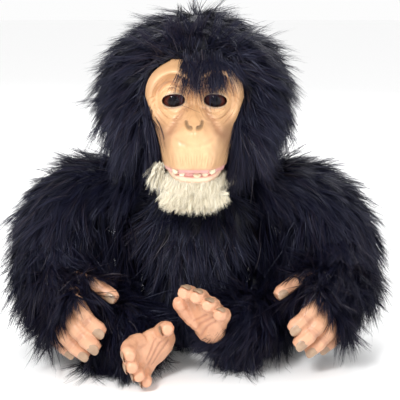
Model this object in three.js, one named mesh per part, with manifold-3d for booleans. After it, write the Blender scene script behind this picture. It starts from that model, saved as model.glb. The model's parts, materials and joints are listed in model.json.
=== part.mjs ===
// A seated animatronic plush baby chimpanzee: a long-furred stuffed body on a plastic case, with a
// soft vinyl face, hands and feet, and a mechanical head that turns, nods, blinks and opens its mouth.
// Millimetres, +Z up. The animal faces -Y, its right side is -X, and it sits on the plane z = 0.
import * as THREE from "three";
import { LoftGeometry } from "three/addons/geometries/LoftGeometry.js";
import { mergeVertices } from "three/addons/utils/BufferGeometryUtils.js";
import Module from "manifold-3d";

const wasm = await Module();
wasm.setup();

// ---------------------------------------------------------------------------------------------
// Driving dimensions
// ---------------------------------------------------------------------------------------------

const GAP = 0.35; // clearance between touching pieces
const FAR = 400; // a length past the whole object, for cutting blocks

// Joint axes
const NECK = { y: 14, z: 186 }; // the neck turns about a vertical line at y, and nods about x at y, z
const JAW = { y: -20, z: 204, inner: 34, outer: 37.5 }; // the jaw swings about x
const EYE = { x: 18.6, y: -51.3, z: 246.7, radius: 11.5 }; // the lids swing about x through both eyes
const CAMSHAFT = { y: -8, z: 240 }; // the cam shaft turns about x
const WORM = { x: 12, z: 256.4 }; // the motor's worm turns about y
const SHOULDER = { y: 14, z: 148, face: 73.5 }; // the arms swing about x, outside this face
const HIP = { y: 8, z: 38, face: 56.5 }; // the legs swing about x, outside this face
const LIMB_ROOT = { front: -46 }; // in front of this plane a limb may reach inwards past its joint's face

// Torso case
const CASE = { halfWidth: 38, front: -13, back: 49, split: 18, bottom: 28, top: 128, wall: 2.5 };
const SCREW = { x: 32, low: 36, high: 120, head: 2.8, shank: 1.5 };
const DOOR = { halfWidth: 31, bottom: 46, top: 106, thickness: 2.5 };
const CELL = { radius: 7.1, length: 50, pitch: 14.9, y: 37.5, bottom: 51 };
const WINDOW = { halfWidth: 37, bottom: 30, top: 114, flapInner: 58 };
const SPEAKER = { radius: 20, z: 92, depth: 15 };
const SWITCH = { x: 0, z: 38, slot: 5.5 };

// Neck
const POST = { radius: 11, bore: 7, top: 192 };
const COLLAR = { bore: 11.5, radius: 16.5, bottom: 176, top: 191, pin: 3.5, pinEnd: 23.5 };
const YOKE = { inner: 20.8, outer: 24, bottom: 179, top: 204 };

// Head
const SKULL = { y: -2, z: 243, rx: 50, ry: 50, rz: 48, wall: 3, split: -4 };
const LID = { inner: 12.0, outer: 12.9, lowEdge: 28, highEdge: 120, opening: 9.3, openingHeight: 5.4 };
const FACE = { bottom: 192, top: 282, back: -30, rim: -47, skin: 2.8, lipRise: 1 };
const LOWER_LIP = { bottom: 168, top: 184, back: -50, skin: 3.2 };

// ---------------------------------------------------------------------------------------------
// Solids
// ---------------------------------------------------------------------------------------------

/** A closed geometry as a manifold solid, turned the right way out. */
function solid(geometry) {
  const bare = new THREE.BufferGeometry();
  bare.setAttribute("position", geometry.getAttribute("position"));
  bare.setIndex(geometry.index);
  const merged = mergeVertices(bare, 1e-4);
  const vertProperties = merged.attributes.position.array;
  const triVerts = new Uint32Array(merged.index.array);
  const made = new wasm.Manifold(new wasm.Mesh({ numProp: 3, vertProperties, triVerts }));
  if (made.volume() > 0) return made;
  for (let i = 0; i < triVerts.length; i += 3) {
    [triVerts[i + 1], triVerts[i + 2]] = [triVerts[i + 2], triVerts[i + 1]];
  }
  return new wasm.Manifold(new wasm.Mesh({ numProp: 3, vertProperties, triVerts }));
}

/** A block between two corners. */
function block(low, high) {
  const size = high.map((value, axis) => value - low[axis]);
  const geometry = new THREE.BoxGeometry(...size);
  geometry.translate(...low.map((value, axis) => value + size[axis] / 2));
  return solid(geometry);
}

/** A round rod between two points. */
function rod(radius, from, to, sides = 16) {
  const start = new THREE.Vector3(...from);
  const along = new THREE.Vector3(...to).sub(start);
  const geometry = new THREE.CylinderGeometry(radius, radius, along.length(), sides);
  geometry.translate(0, along.length() / 2, 0);
  const up = new THREE.Vector3(0, 1, 0);
  geometry.applyQuaternion(new THREE.Quaternion().setFromUnitVectors(up, along.normalize()));
  geometry.translate(...from);
  return solid(geometry);
}

/** An ellipsoid at a centre, with a radius along each axis. */
function ball(centre, radii, around = 20, over = 12) {
  const geometry = new THREE.SphereGeometry(1, around, over);
  geometry.rotateX(Math.PI / 2);
  geometry.scale(...radii);
  geometry.translate(...centre);
  return solid(geometry);
}

/** A solid skinned over closed rings of points. */
function loft(rings) {
  return solid(new LoftGeometry(rings, { capStart: true, capEnd: true }));
}

/** A solid of level oval rings, each given as [z, half width, half depth, centre y]. */
function stack(levels, sides) {
  return loft(
    levels.map(([z, a, b, cy]) =>
      Array.from({ length: sides }, (_, i) => {
        const angle = (i / sides) * 2 * Math.PI;
        return new THREE.Vector3(a * Math.cos(angle), cy + b * Math.sin(angle), z);
      }),
    ),
  );
}

/** The rings of a tapered tube through stations [x, y, z, radius], kept free of twist. */
function tubeRings(stations, sides, steps) {
  const curve = new THREE.CatmullRomCurve3(stations.map(([x, y, z]) => new THREE.Vector3(x, y, z)));
  const radiusAt = (t) => {
    const place = t * (stations.length - 1);
    const index = Math.min(Math.floor(place), stations.length - 2);
    return THREE.MathUtils.lerp(stations[index][3], stations[index + 1][3], place - index);
  };
  let side = null;
  const rings = [];
  for (let step = 0; step <= steps; step += 1) {
    const t = step / steps;
    const along = curve.getTangent(t);
    const seed = side ?? new THREE.Vector3(0.31, 0.17, 0.93);
    side = seed.clone().addScaledVector(along, -seed.dot(along)).normalize();
    const across = new THREE.Vector3().crossVectors(along, side);
    rings.push({ centre: curve.getPoint(t), along, side, across, radius: radiusAt(t) });
  }
  return rings.map((ring) => ({ ...ring, sides }));
}

/** The points of one tube ring, drawn in to `shrink` of its radius and moved `shift` along the tube. */
function ringPoints(ring, shrink = 1, shift = 0) {
  return Array.from({ length: ring.sides }, (_, i) => {
    const angle = (i / ring.sides) * 2 * Math.PI;
    return ring.centre
      .clone()
      .addScaledVector(ring.along, shift)
      .addScaledVector(ring.side, Math.cos(angle) * ring.radius * shrink)
      .addScaledVector(ring.across, Math.sin(angle) * ring.radius * shrink);
  });
}

/** A tapered tube through stations [x, y, z, radius], with a rounded far end unless `flat` is set. */
function limb(stations, { sides = 12, steps = 10, flat = false } = {}) {
  const rings = tubeRings(stations, sides, steps);
  const last = rings[rings.length - 1];
  const points = rings.map((ring) => ringPoints(ring));
  if (!flat) {
    const turn = THREE.MathUtils.degToRad(50);
    points.push(ringPoints(last, Math.cos(turn), Math.sin(turn) * last.radius));
  }
  return loft(points);
}

/** A flat plate drawn by a shape in x, y and raised from z0 to z1. */
function plate(shape, z0, z1, curveSegments = 12) {
  const geometry = new THREE.ExtrudeGeometry(shape, {
    depth: z1 - z0,
    bevelEnabled: false,
    curveSegments,
  });
  geometry.translate(0, 0, z0);
  return solid(geometry);
}

/** A horseshoe open to the back: a half-oval band `band` wide, from z0 to z1. */
function horseshoe(halfWidth, reach, y, band, z0, z1) {
  const shape = new THREE.Shape();
  shape.absellipse(0, y, halfWidth, reach, Math.PI, 2 * Math.PI, false);
  shape.lineTo(halfWidth - band, y);
  shape.absellipse(0, y, halfWidth - band, reach - band, 2 * Math.PI, Math.PI, true);
  return plate(shape, z0, z1);
}

/** Several solids joined. */
function join(...solids) {
  return solids.reduce((sum, next) => sum.add(next));
}

/** The first solid less all the others. */
function cut(from, ...tools) {
  return tools.reduce((rest, tool) => rest.subtract(tool), from);
}

const chimp = new THREE.Group();
chimp.name = "plush_chimpanzee";

const FINISH = {
  fur: { color: 0x15151f, roughness: 0.95, metalness: 0 },
  chin: { color: 0xd8d2c6, roughness: 0.95, metalness: 0 },
  vinyl: { color: 0xd9a67a, roughness: 0.5, metalness: 0 },
  gum: { color: 0xd98a8c, roughness: 0.35, metalness: 0 },
  tooth: { color: 0xefe6cc, roughness: 0.3, metalness: 0 },
  eye: { color: 0x1c0d0a, roughness: 0.05, metalness: 0 },
  shell: { color: 0x2a2c30, roughness: 0.6, metalness: 0 },
  moulding: { color: 0xe6e2d8, roughness: 0.5, metalness: 0 },
  steel: { color: 0xb9bcc0, roughness: 0.35, metalness: 1 },
  brass: { color: 0xc9a24a, roughness: 0.35, metalness: 1 },
  board: { color: 0x2f6a3a, roughness: 0.5, metalness: 0 },
  cell: { color: 0x3c4a66, roughness: 0.35, metalness: 0.2 },
};

/** Adds one named piece to the object. */
function piece(name, made, finish) {
  const mesh = made.getMesh();
  const geometry = new THREE.BufferGeometry();
  geometry.setAttribute("position", new THREE.BufferAttribute(mesh.vertProperties.slice(), 3));
  geometry.setIndex(new THREE.BufferAttribute(mesh.triVerts.slice(), 1));
  geometry.computeVertexNormals();
  const part = new THREE.Mesh(geometry, new THREE.MeshStandardMaterial(finish));
  part.name = name;
  chimp.add(part);
}

// ---------------------------------------------------------------------------------------------
// Torso case and what it holds
// ---------------------------------------------------------------------------------------------

const c = CASE;
const caseOuter = block([-c.halfWidth, c.front, c.bottom], [c.halfWidth, c.back, c.top]);
const caseInner = block(
  [-c.halfWidth + c.wall, c.front + c.wall, c.bottom + c.wall],
  [c.halfWidth - c.wall, c.back - c.wall, c.top - c.wall],
);
const screwPlaces = [
  ["upper_right", -SCREW.x, SCREW.high],
  ["upper_left", SCREW.x, SCREW.high],
  ["lower_right", -SCREW.x, SCREW.low],
  ["lower_left", SCREW.x, SCREW.low],
];
const caseBosses = screwPlaces.map(([, x, z]) =>
  rod(4.5, [x, c.front + c.wall / 2, z], [x, c.back - c.wall / 2, z], 8),
);
const screwHoles = screwPlaces.map(([, x, z]) =>
  join(
    rod(SCREW.shank + GAP, [x, c.split - 8, z], [x, c.back + 1, z], 8),
    rod(SCREW.head + GAP, [x, c.back - 4, z], [x, c.back + 1, z], 8),
  ),
);
const caseBody = join(cut(caseOuter, caseInner), ...caseBosses);

const speakerSlots = [-12, -6, 0, 6, 12].map((x) =>
  block([x - 1.2, c.front - 1, SPEAKER.z - 12], [x + 1.2, c.front + c.wall + 1, SPEAKER.z + 12]),
);
const neckCord = rod(POST.bore, [0, NECK.y, c.top - 4], [0, NECK.y, c.top + 1], 16);
const caseFront = cut(
  caseBody,
  block([-FAR, c.split - GAP / 2, -FAR], [FAR, FAR, FAR]),
  neckCord,
  ...screwHoles,
  ...speakerSlots,
);
piece("torso_case_front", caseFront, FINISH.shell);

const doorHole = block(
  [-DOOR.halfWidth, c.back - c.wall - 1, DOOR.bottom],
  [DOOR.halfWidth, c.back + 1, DOOR.top],
);
const switchHole = block(
  [SWITCH.x - SWITCH.slot - 4, c.back - c.wall - 1, SWITCH.z - 3],
  [SWITCH.x + SWITCH.slot + 4, c.back + 1, SWITCH.z + 3],
);
const caseBack = cut(
  caseBody,
  block([-FAR, -FAR, -FAR], [FAR, c.split + GAP / 2, FAR]),
  neckCord,
  doorHole,
  switchHole,
  ...screwHoles,
);
piece("torso_case_back", caseBack, FINISH.shell);

for (const [place, x, z] of screwPlaces) {
  const screw = join(
    rod(SCREW.head, [x, c.back - 3.5, z], [x, c.back - 1.5, z], 8),
    rod(SCREW.shank, [x, c.split - 6, z], [x, c.back - 3.4, z], 8),
  );
  const slot = block([x - 2, c.back - 2.3, z - 0.4], [x + 2, c.back, z + 0.4]);
  piece(`case_screw_${place}`, cut(screw, slot), FINISH.steel);
}

// The battery tray is a box open to the back, with the cells standing side by side in it.
const tray = {
  low: [-DOOR.halfWidth + GAP, CELL.y - CELL.radius - 2, DOOR.bottom + GAP],
  high: [DOOR.halfWidth - GAP, c.back - c.wall - GAP, DOOR.top - GAP],
};
const batteryTray = cut(
  block(tray.low, tray.high),
  block(
    [tray.low[0] + 1.2, tray.low[1] + 1.5, tray.low[2] + 2],
    [tray.high[0] - 1.2, FAR, tray.high[2] - 2],
  ),
  rod(2.6, [0, CELL.y, DOOR.top - 3], [0, CELL.y, DOOR.top + 1], 12),
);
piece("battery_tray", batteryTray, FINISH.shell);

[-1.5, -0.5, 0.5, 1.5].forEach((place, index) => {
  const x = place * CELL.pitch;
  const top = CELL.bottom + CELL.length;
  const flip = index % 2 === 0;
  const nub = flip
    ? rod(2.6, [x, CELL.y, top - 0.1], [x, CELL.y, top + 1], 8)
    : rod(2.6, [x, CELL.y, CELL.bottom - 1], [x, CELL.y, CELL.bottom + 0.1], 8);
  const body = rod(CELL.radius, [x, CELL.y, CELL.bottom], [x, CELL.y, top], 14);
  piece(`battery_cell_${index + 1}`, join(body, nub), FINISH.cell);
});

/** A contact strip of thin plates, one across each pair of cells, carried on one bar. */
function contactStrip(z0, z1) {
  const bar = block([-27, CELL.y - 5, z0], [27, CELL.y - 3, z1]);
  const pads = [-1.5, -0.5, 0.5, 1.5].map((place) => {
    const x = place * CELL.pitch;
    return block([x - 4, CELL.y - 4, z0], [x + 4, CELL.y + 5, z1]);
  });
  return join(bar, ...pads);
}
piece("battery_contacts_upper", contactStrip(102.4, 103.2), FINISH.steel);
piece("battery_contacts_lower", contactStrip(48.8, 49.6), FINISH.steel);

// The battery door lifts straight off the back, with its captive screw.
const doorScrew = { z: DOOR.top - 7, x: 0 };
const door = cut(
  join(
    block(
      [-DOOR.halfWidth + GAP, c.back - c.wall + GAP, DOOR.bottom + GAP],
      [DOOR.halfWidth - GAP, c.back, DOOR.top - GAP],
    ),
    block([-10, c.back - 0.1, DOOR.bottom + 6], [10, c.back + 1.2, DOOR.bottom + 9]),
  ),
  rod(SCREW.shank + GAP, [0, c.back - 4, doorScrew.z], [0, c.back + 3, doorScrew.z], 10),
);
piece("battery_door", door, FINISH.shell);
const doorScrewBody = join(
  rod(SCREW.head, [0, c.back + GAP, doorScrew.z], [0, c.back + 2, doorScrew.z], 12),
  rod(SCREW.shank, [0, c.back - 3.5, doorScrew.z], [0, c.back + GAP + 0.1, doorScrew.z], 10),
);
const doorScrewSlot = block([-2, c.back + 1.3, doorScrew.z - 0.4], [2, c.back + 3, doorScrew.z + 0.4]);
piece("battery_door_screw", cut(doorScrewBody, doorScrewSlot), FINISH.steel);

const switchKnob = join(
  block(
    [SWITCH.x - 9, c.back - c.wall - 2.4, SWITCH.z - 5],
    [SWITCH.x + 5, c.back - c.wall - GAP, SWITCH.z + 5],
  ),
  block([SWITCH.x - 5, c.back - c.wall - 1, SWITCH.z - 2.5], [SWITCH.x, c.back + 1.5, SWITCH.z + 2.5]),
);
piece("power_switch", switchKnob, FINISH.moulding);

const speakerBack = c.front + c.wall + GAP + SPEAKER.depth;
const speaker = join(
  rod(
    SPEAKER.radius,
    [0, c.front + c.wall + GAP, SPEAKER.z],
    [0, c.front + c.wall + GAP + 3, SPEAKER.z],
    20,
  ),
  rod(14, [0, c.front + c.wall + 3, SPEAKER.z], [0, c.front + c.wall + 9, SPEAKER.z], 16),
  rod(10, [0, c.front + c.wall + 8, SPEAKER.z], [0, speakerBack, SPEAKER.z], 14),
);
piece("speaker", speaker, FINISH.steel);

const boardFace = 12;
const board = join(
  block([-27, boardFace, 40], [27, boardFace + 1.6, 112]),
  block([-12, boardFace + 1.5, 60], [4, boardFace + 4, 76]),
  block([8, boardFace + 1.5, 84], [20, boardFace + 5, 92]),
  rod(4, [14, boardFace + 1.5, 60], [14, boardFace + 8, 60], 12),
);
piece("circuit_board", board, FINISH.board);

// ---------------------------------------------------------------------------------------------
// Neck
// ---------------------------------------------------------------------------------------------

const neckRod = (radius, z0, z1, sides = 16) => rod(radius, [0, NECK.y, z0], [0, NECK.y, z1], sides);
const neckPost = cut(
  join(
    neckRod(18, c.top + GAP, c.top + 3),
    neckRod(POST.radius, c.top + 2, POST.top),
    neckRod(15, COLLAR.bottom - 4, COLLAR.bottom - GAP),
  ),
  neckRod(POST.bore, c.top - 1, POST.top + 1, 16),
);
piece("neck_post", neckPost, FINISH.moulding);

const neckClip = join(
  neckRod(14, POST.top + GAP, POST.top + 3),
  neckRod(POST.bore - GAP, POST.top - 6, POST.top + 1, 16),
);
piece("neck_clip", cut(neckClip, neckRod(3, POST.top - 8, POST.top + 4, 12)), FINISH.moulding);

const collarPins = [-1, 1].map((side) =>
  rod(COLLAR.pin, [side * 14, NECK.y, NECK.z], [side * COLLAR.pinEnd, NECK.y, NECK.z], 16),
);
const neckCollar = cut(
  join(neckRod(COLLAR.radius, COLLAR.bottom, COLLAR.top), ...collarPins),
  neckRod(COLLAR.bore, COLLAR.bottom - 1, COLLAR.top + 1),
);
piece("neck_collar", neckCollar, FINISH.moulding);

// ---------------------------------------------------------------------------------------------
// Face surface
// ---------------------------------------------------------------------------------------------

/** A smooth bump of height 1, `power` giving it a flat top. */
function bump(distance, power = 2) {
  return Math.exp(-(Math.abs(distance) ** power));
}

/** Half the width of the face at a height. */
function faceHalfWidth(z) {
  const outline = [
    [166, 22],
    [178, 26],
    [190, 29],
    [205, 32],
    [222, 36],
    [236, 41],
    [251, 45],
    [262, 43.5],
    [270, 39],
    [277, 30],
    [282, 18],
  ];
  const next = outline.findIndex(([level]) => level >= z);
  if (next <= 0) return outline[next === 0 ? 0 : outline.length - 1][1];
  const [z0, w0] = outline[next - 1];
  const [z1, w1] = outline[next];
  return THREE.MathUtils.lerp(w0, w1, (z - z0) / (z1 - z0));
}

/**
 * The y of the face's front surface: forehead, brow ridges, eye bulges, nose and muzzle. Without
 * `relief` it is the calmer surface inside the skin, which leaves the brows and the nose solid.
 */
function faceFront(x, z, relief = true) {
  const across = Math.min(1, Math.abs(x) / faceHalfWidth(z));
  const overTop = Math.min(1, Math.max(0, (z - 262) / 20));
  const round = Math.sqrt(Math.max(0, 1 - across ** 3.2)) * Math.sqrt(1 - overTop ** 3);
  const fromEye = Math.hypot(Math.abs(x) - EYE.x, (z - EYE.z) / 1.2);
  const upper = THREE.MathUtils.smoothstep(z, EYE.z - 4, EYE.z + 12);
  const brow = relief ? 6.5 * bump((fromEye - 21) / 5) * upper : 0;
  const socket = 3.5 * (relief ? bump((fromEye - 15.5) / 4) : bump(fromEye / 24, 4));
  const muzzleHeight = z > 207 ? (z - 207) / 25 : (207 - z) / 38;
  const muzzle = 37 * bump(x / 29, 5) * bump(muzzleHeight, 3);
  const nose = relief ? 9.5 * bump(Math.hypot(x / 13, (z - 229) / 10.5), 3) : 0;
  const skin = FACE.rim - (14 + brow - socket + muzzle + nose) * round;
  const eyeball = Math.hypot(Math.abs(x) - EYE.x, z - EYE.z);
  const bulge = LID.outer + 3.2;
  if (eyeball >= bulge) return skin;
  return Math.min(skin, EYE.y - Math.sqrt(bulge * bulge - eyeball * eyeball));
}

/** The height of the mouth's edge: the lips rise towards the corners. */
function lipEdge(base, x) {
  return base + FACE.lipRise * (x / 26) ** 2;
}

/** Closed rings behind the face surface, `inset` inside it, from a lower edge up to a top. */
function faceRings({ edge, top, back, inset, levels, across, relief = true }) {
  return Array.from({ length: levels + 1 }, (_, level) => {
    const rise = level / levels;
    const ring = [];
    for (let i = 0; i <= across; i += 1) {
      const turn = (i / across - 0.5) * Math.PI;
      const zMid = THREE.MathUtils.lerp(edge(0), top, rise);
      const x = (faceHalfWidth(zMid) - inset) * Math.sin(turn);
      const z = THREE.MathUtils.lerp(edge(x), top, rise);
      const front = faceFront(x, z, relief) + inset;
      ring.push(new THREE.Vector3(x, Math.min(front, back - 1), z));
    }
    const half = faceHalfWidth(THREE.MathUtils.lerp(edge(0), top, rise)) - inset;
    const cornerZ = THREE.MathUtils.lerp(edge(half), top, rise);
    ring.push(new THREE.Vector3(half, back, cornerZ));
    ring.push(new THREE.Vector3(-half, back, cornerZ));
    return ring;
  });
}

const faceOuter = loft(
  faceRings({
    edge: (x) => lipEdge(FACE.bottom, x),
    top: FACE.top,
    back: FACE.back,
    inset: 0,
    levels: 21,
    across: 20,
  }),
);
/** The space behind the face skin, `clear` inside its inner surface. */
const faceSpace = (clear) =>
  loft(
    faceRings({
      edge: (x) => lipEdge(FACE.bottom - 6, x),
      top: FACE.top - FACE.skin - 3 - clear,
      back: FACE.back + 10,
      inset: FACE.skin + clear,
      levels: 10,
      across: 12,
      relief: false,
    }),
  );
const faceInner = faceSpace(0);
/** The same solid for each eye, left and right. */
const eachEye = (make) => [-1, 1].map((side) => make(side * EYE.x, side));
const eyeOpenings = eachEye((x) => {
  const geometry = new THREE.CylinderGeometry(1, 1, 60, 20);
  geometry.scale(LID.opening, 1, LID.openingHeight);
  geometry.translate(x, EYE.y - 20, EYE.z);
  return solid(geometry);
});
const lidClearance = eachEye((x) => ball([x, EYE.y, EYE.z], Array(3).fill(LID.outer + 0.6), 14, 8));
const nostrils = [-1, 1].map((side) =>
  limb(
    [
      [side * 5.4, -97, 226, 1.8],
      [side * 5.6, -90, 226.5, 1.6],
      [side * 5, -84, 227, 1.3],
    ],
    { sides: 8, steps: 3 },
  ),
);
const faceSkin = cut(faceOuter, faceInner, ...eyeOpenings, ...lidClearance, ...nostrils);
piece("face_skin", faceSkin, FINISH.vinyl);

// ---------------------------------------------------------------------------------------------
// Skull, eyes, lids and the head drive
// ---------------------------------------------------------------------------------------------

const skullBall = (inset, around, over) =>
  ball([0, SKULL.y, SKULL.z], [SKULL.rx - inset, SKULL.ry - inset, SKULL.rz - inset], around, over);
const skullShell = cut(skullBall(0, 16, 10), skullBall(SKULL.wall, 14, 8), neckRod(20, 170, 215));

const lidShaftWay = block([-2.2, -60, EYE.z - 3.5], [2.2, -38, EYE.z + 12]);
const lidShaftSeat = rod(3.2, [-6, EYE.y, EYE.z], [6, EYE.y, EYE.z], 12);
const eyeWays = eachEye((x) => {
  const sweep = LID.outer + 1.8;
  return join(
    ball([x, EYE.y, EYE.z], Array(3).fill(sweep), 12, 8),
    rod(sweep, [x, EYE.y - 20, EYE.z], [x, EYE.y, EYE.z], 12),
  );
});
const jawBosses = [-1, 1].map((side) =>
  rod(4.2, [side * 20, JAW.y, JAW.z], [side * (JAW.inner - GAP), JAW.y, JAW.z], 12),
);
const jawBossHoles = [-1, 1].map((side) =>
  rod(2.4, [side * 25, JAW.y, JAW.z], [side * 36, JAW.y, JAW.z], 10),
);
/** The face skin grown by the clearance on both sides, to keep the skull off it. */
const faceClearance = cut(
  loft(
    faceRings({
      edge: (x) => lipEdge(FACE.bottom - 6, x),
      top: FACE.top + 1,
      back: FACE.back + 1,
      inset: -1.2,
      levels: 8,
      across: 12,
    }),
  ),
  faceSpace(1.2),
);
const muzzleCore = stack(
  [
    [198.5, 17, 18, -64],
    [204, 20, 21, -65],
    [214, 20, 20, -64],
    [222, 15, 17, -60],
  ],
  16,
);
const muzzleStay = block([-10, -66, 206], [10, -42, 218]);
const skullFront = cut(
  join(
    cut(skullShell, block([-FAR, SKULL.split - GAP / 2, -FAR], [FAR, FAR, FAR])),
    ...jawBosses,
    muzzleCore,
    muzzleStay,
  ),
  skullBall(SKULL.wall, 14, 8),
  ...jawBossHoles,
  ...eyeWays,
  lidShaftWay,
  lidShaftSeat,
  faceClearance,
);
piece("skull_front", skullFront, FINISH.moulding);

const yokePlates = [-1, 1].map((side) =>
  block(
    [Math.min(side * YOKE.inner, side * YOKE.outer), NECK.y - 8, YOKE.bottom],
    [Math.max(side * YOKE.inner, side * YOKE.outer), NECK.y + 8, YOKE.top],
  ),
);
const yokeHole = rod(COLLAR.pin + 0.4, [-30, NECK.y, NECK.z], [30, NECK.y, NECK.z], 16);
const skullBack = cut(
  join(cut(skullShell, block([-FAR, -FAR, -FAR], [FAR, SKULL.split + GAP / 2, FAR])), ...yokePlates),
  yokeHole,
);
piece("skull_back", skullBack, FINISH.moulding);

eachEye((x, side) => {
  const name = side < 0 ? "eyeball_right" : "eyeball_left";
  piece(name, ball([x, EYE.y, EYE.z], Array(3).fill(EYE.radius), 16, 10), FINISH.eye);
});

const eyeFrame = join(
  block([-28, -34.5, EYE.z - 8], [28, -32, EYE.z + 8]),
  ...eachEye((x) =>
    rod(3.5, [x, EYE.y + EYE.radius + GAP, EYE.z], [x, -33, EYE.z], 12),
  ),
);
piece("eye_frame", eyeFrame, FINISH.moulding);

/** The wedge of a lid between two angles above straight ahead, cut from its round shell. */
function lidShell(x) {
  const shell = cut(
    ball([x, EYE.y, EYE.z], Array(3).fill(LID.outer), 14, 10),
    ball([x, EYE.y, EYE.z], Array(3).fill(LID.inner), 14, 10),
  );
  const shape = new THREE.Shape();
  shape.moveTo(0, 0);
  for (let step = 0; step <= 6; step += 1) {
    const angle = THREE.MathUtils.degToRad(
      THREE.MathUtils.lerp(LID.lowEdge, LID.highEdge, step / 6),
    );
    shape.lineTo(-30 * Math.cos(angle), 30 * Math.sin(angle));
  }
  const wedge = new THREE.ExtrudeGeometry(shape, { depth: 40, bevelEnabled: false });
  wedge.translate(0, 0, -20);
  wedge.applyMatrix4(new THREE.Matrix4().set(0, 0, 1, x, 1, 0, 0, EYE.y, 0, 1, 0, EYE.z, 0, 0, 0, 1));
  return shell.intersect(solid(wedge));
}
eachEye((x, side) => {
  const hub = rod(
    2.6,
    [x - side * (LID.outer + 0.3), EYE.y, EYE.z],
    [x - side * (LID.inner - 0.2), EYE.y, EYE.z],
    12,
  );
  piece(side < 0 ? "eyelid_right" : "eyelid_left", join(lidShell(x), hub), FINISH.vinyl);
});
const lidShaftEnd = EYE.x - LID.outer - 0.3 - GAP;
const lidShaft = join(
  rod(2.2, [-lidShaftEnd, EYE.y, EYE.z], [lidShaftEnd, EYE.y, EYE.z], 12),
  rod(1.2, [0, EYE.y, EYE.z], [0, EYE.y + 9, EYE.z], 8),
);
piece("eyelid_shaft", lidShaft, FINISH.moulding);

const driveFrame = cut(
  join(
    block([-27, -18, 226], [-24.5, 22, 264]),
    block([24.5, -18, 226], [27, 22, 264]),
    block([-26, 19.5, 226], [26, 22, 264]),
  ),
  rod(2.9, [-30, CAMSHAFT.y, CAMSHAFT.z], [30, CAMSHAFT.y, CAMSHAFT.z], 12),
);
piece("drive_frame", driveFrame, FINISH.moulding);

const motor = join(
  rod(8, [WORM.x, 2, WORM.z], [WORM.x, 19, WORM.z], 16),
  rod(3, [WORM.x, -1, WORM.z], [WORM.x, 2.1, WORM.z], 10),
);
piece("drive_motor", motor, FINISH.steel);

// The worm is a turned rod with a thread groove at each pitch.
const WORM_BODY = { front: -15, back: -1.6, radius: 4, root: 3, pitch: 3 };
const wormProfile = [new THREE.Vector2(0, WORM_BODY.front)];
for (let y = WORM_BODY.front; y < WORM_BODY.back - WORM_BODY.pitch; y += WORM_BODY.pitch) {
  wormProfile.push(new THREE.Vector2(WORM_BODY.radius, y));
  wormProfile.push(new THREE.Vector2(WORM_BODY.radius, y + 1.6));
  wormProfile.push(new THREE.Vector2(WORM_BODY.root, y + 2.3));
}
wormProfile.push(new THREE.Vector2(WORM_BODY.root, WORM_BODY.back));
wormProfile.push(new THREE.Vector2(0, WORM_BODY.back));
const wormGeometry = new THREE.LatheGeometry(wormProfile, 12);
wormGeometry.translate(WORM.x, 0, WORM.z);
const worm = solid(wormGeometry);
piece("drive_worm", worm, FINISH.brass);

/** A toothed wheel or a cam outline in the y, z plane, given as a radius at each angle. */
function disc(x0, x1, radiusAt, steps) {
  const shape = new THREE.Shape();
  for (let step = 0; step < steps; step += 1) {
    const angle = (step / steps) * 2 * Math.PI;
    const radius = radiusAt(angle, step);
    const place = [radius * Math.cos(angle), radius * Math.sin(angle)];
    if (step === 0) shape.moveTo(...place);
    else shape.lineTo(...place);
  }
  const geometry = new THREE.ExtrudeGeometry(shape, { depth: x1 - x0, bevelEnabled: false });
  geometry.applyMatrix4(
    new THREE.Matrix4().set(0, 0, 1, x0, 1, 0, 0, CAMSHAFT.y, 0, 1, 0, CAMSHAFT.z, 0, 0, 0, 1),
  );
  return solid(geometry);
}
const WHEEL = { teeth: 16, tip: 12, root: 10.2 };
const camShaft = join(
  rod(2.4, [-28, CAMSHAFT.y, CAMSHAFT.z], [28, CAMSHAFT.y, CAMSHAFT.z], 14),
  disc(WORM.x - 3, WORM.x + 3, (_, step) => (step % 4 < 2 ? WHEEL.tip : WHEEL.root), WHEEL.teeth * 4),
  disc(-8, -4, (angle) => 6.5 + 2 * Math.cos(angle), 20),
  disc(-18, -14, (angle) => 6.5 + 2.2 * Math.cos(2 * angle), 20),
);
piece("cam_shaft", camShaft, FINISH.moulding);

// ---------------------------------------------------------------------------------------------
// Mouth and jaw
// ---------------------------------------------------------------------------------------------

/** Small rounded teeth along an arch: each is [x, width], standing between two heights. */
function teeth(places, halfWidth, reach, y, z0, z1) {
  return places.map(([x, width]) => {
    const front = y - reach * Math.sqrt(1 - (x / halfWidth) ** 2);
    const tooth = [
      [z0, 0.8],
      [(z0 + z1) / 2, 1],
      [z1, 0.75],
    ];
    return stack(
      tooth.map(([z, scale]) => [z, (width / 2) * scale, 1.9 * scale, 0]),
      8,
    ).translate([x, front, 0]);
  });
}
const upperArch = { halfWidth: 20.5, reach: 23.5, y: -62 };
const upperGum = join(
  horseshoe(upperArch.halfWidth, upperArch.reach, upperArch.y, 5, 190, 197.5),
  ...teeth(
    [
      [-15, 5],
      [-9, 4.5],
      [-3, 5.2],
      [3, 5.2],
      [9, 4.5],
      [15, 5],
    ],
    upperArch.halfWidth,
    upperArch.reach - 1.5,
    upperArch.y,
    186.8,
    191,
  ),
);
piece("upper_gum_and_teeth", upperGum, FINISH.gum);

const jawFrame = join(
  horseshoe(14, 15, -55, 5, 172.5, 176.5),
  ...[-1, 1].map((side) =>
    join(
      limb(
        [
          [side * 11.5, -56, 174.5, 2.2],
          [side * 15, -40, 178, 2.5],
          [side * 33.5, -27, 189, 2.3],
          [side * 36.2, JAW.y, JAW.z - 2, 1.6],
        ],
        { sides: 8, steps: 7 },
      ),
      rod(4.6, [side * JAW.inner, JAW.y, JAW.z], [side * JAW.outer, JAW.y, JAW.z], 12),
      rod(2, [side * 26, JAW.y, JAW.z], [side * (JAW.outer - 1), JAW.y, JAW.z], 10),
    ),
  ),
);
piece("jaw_frame", jawFrame, FINISH.moulding);

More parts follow.
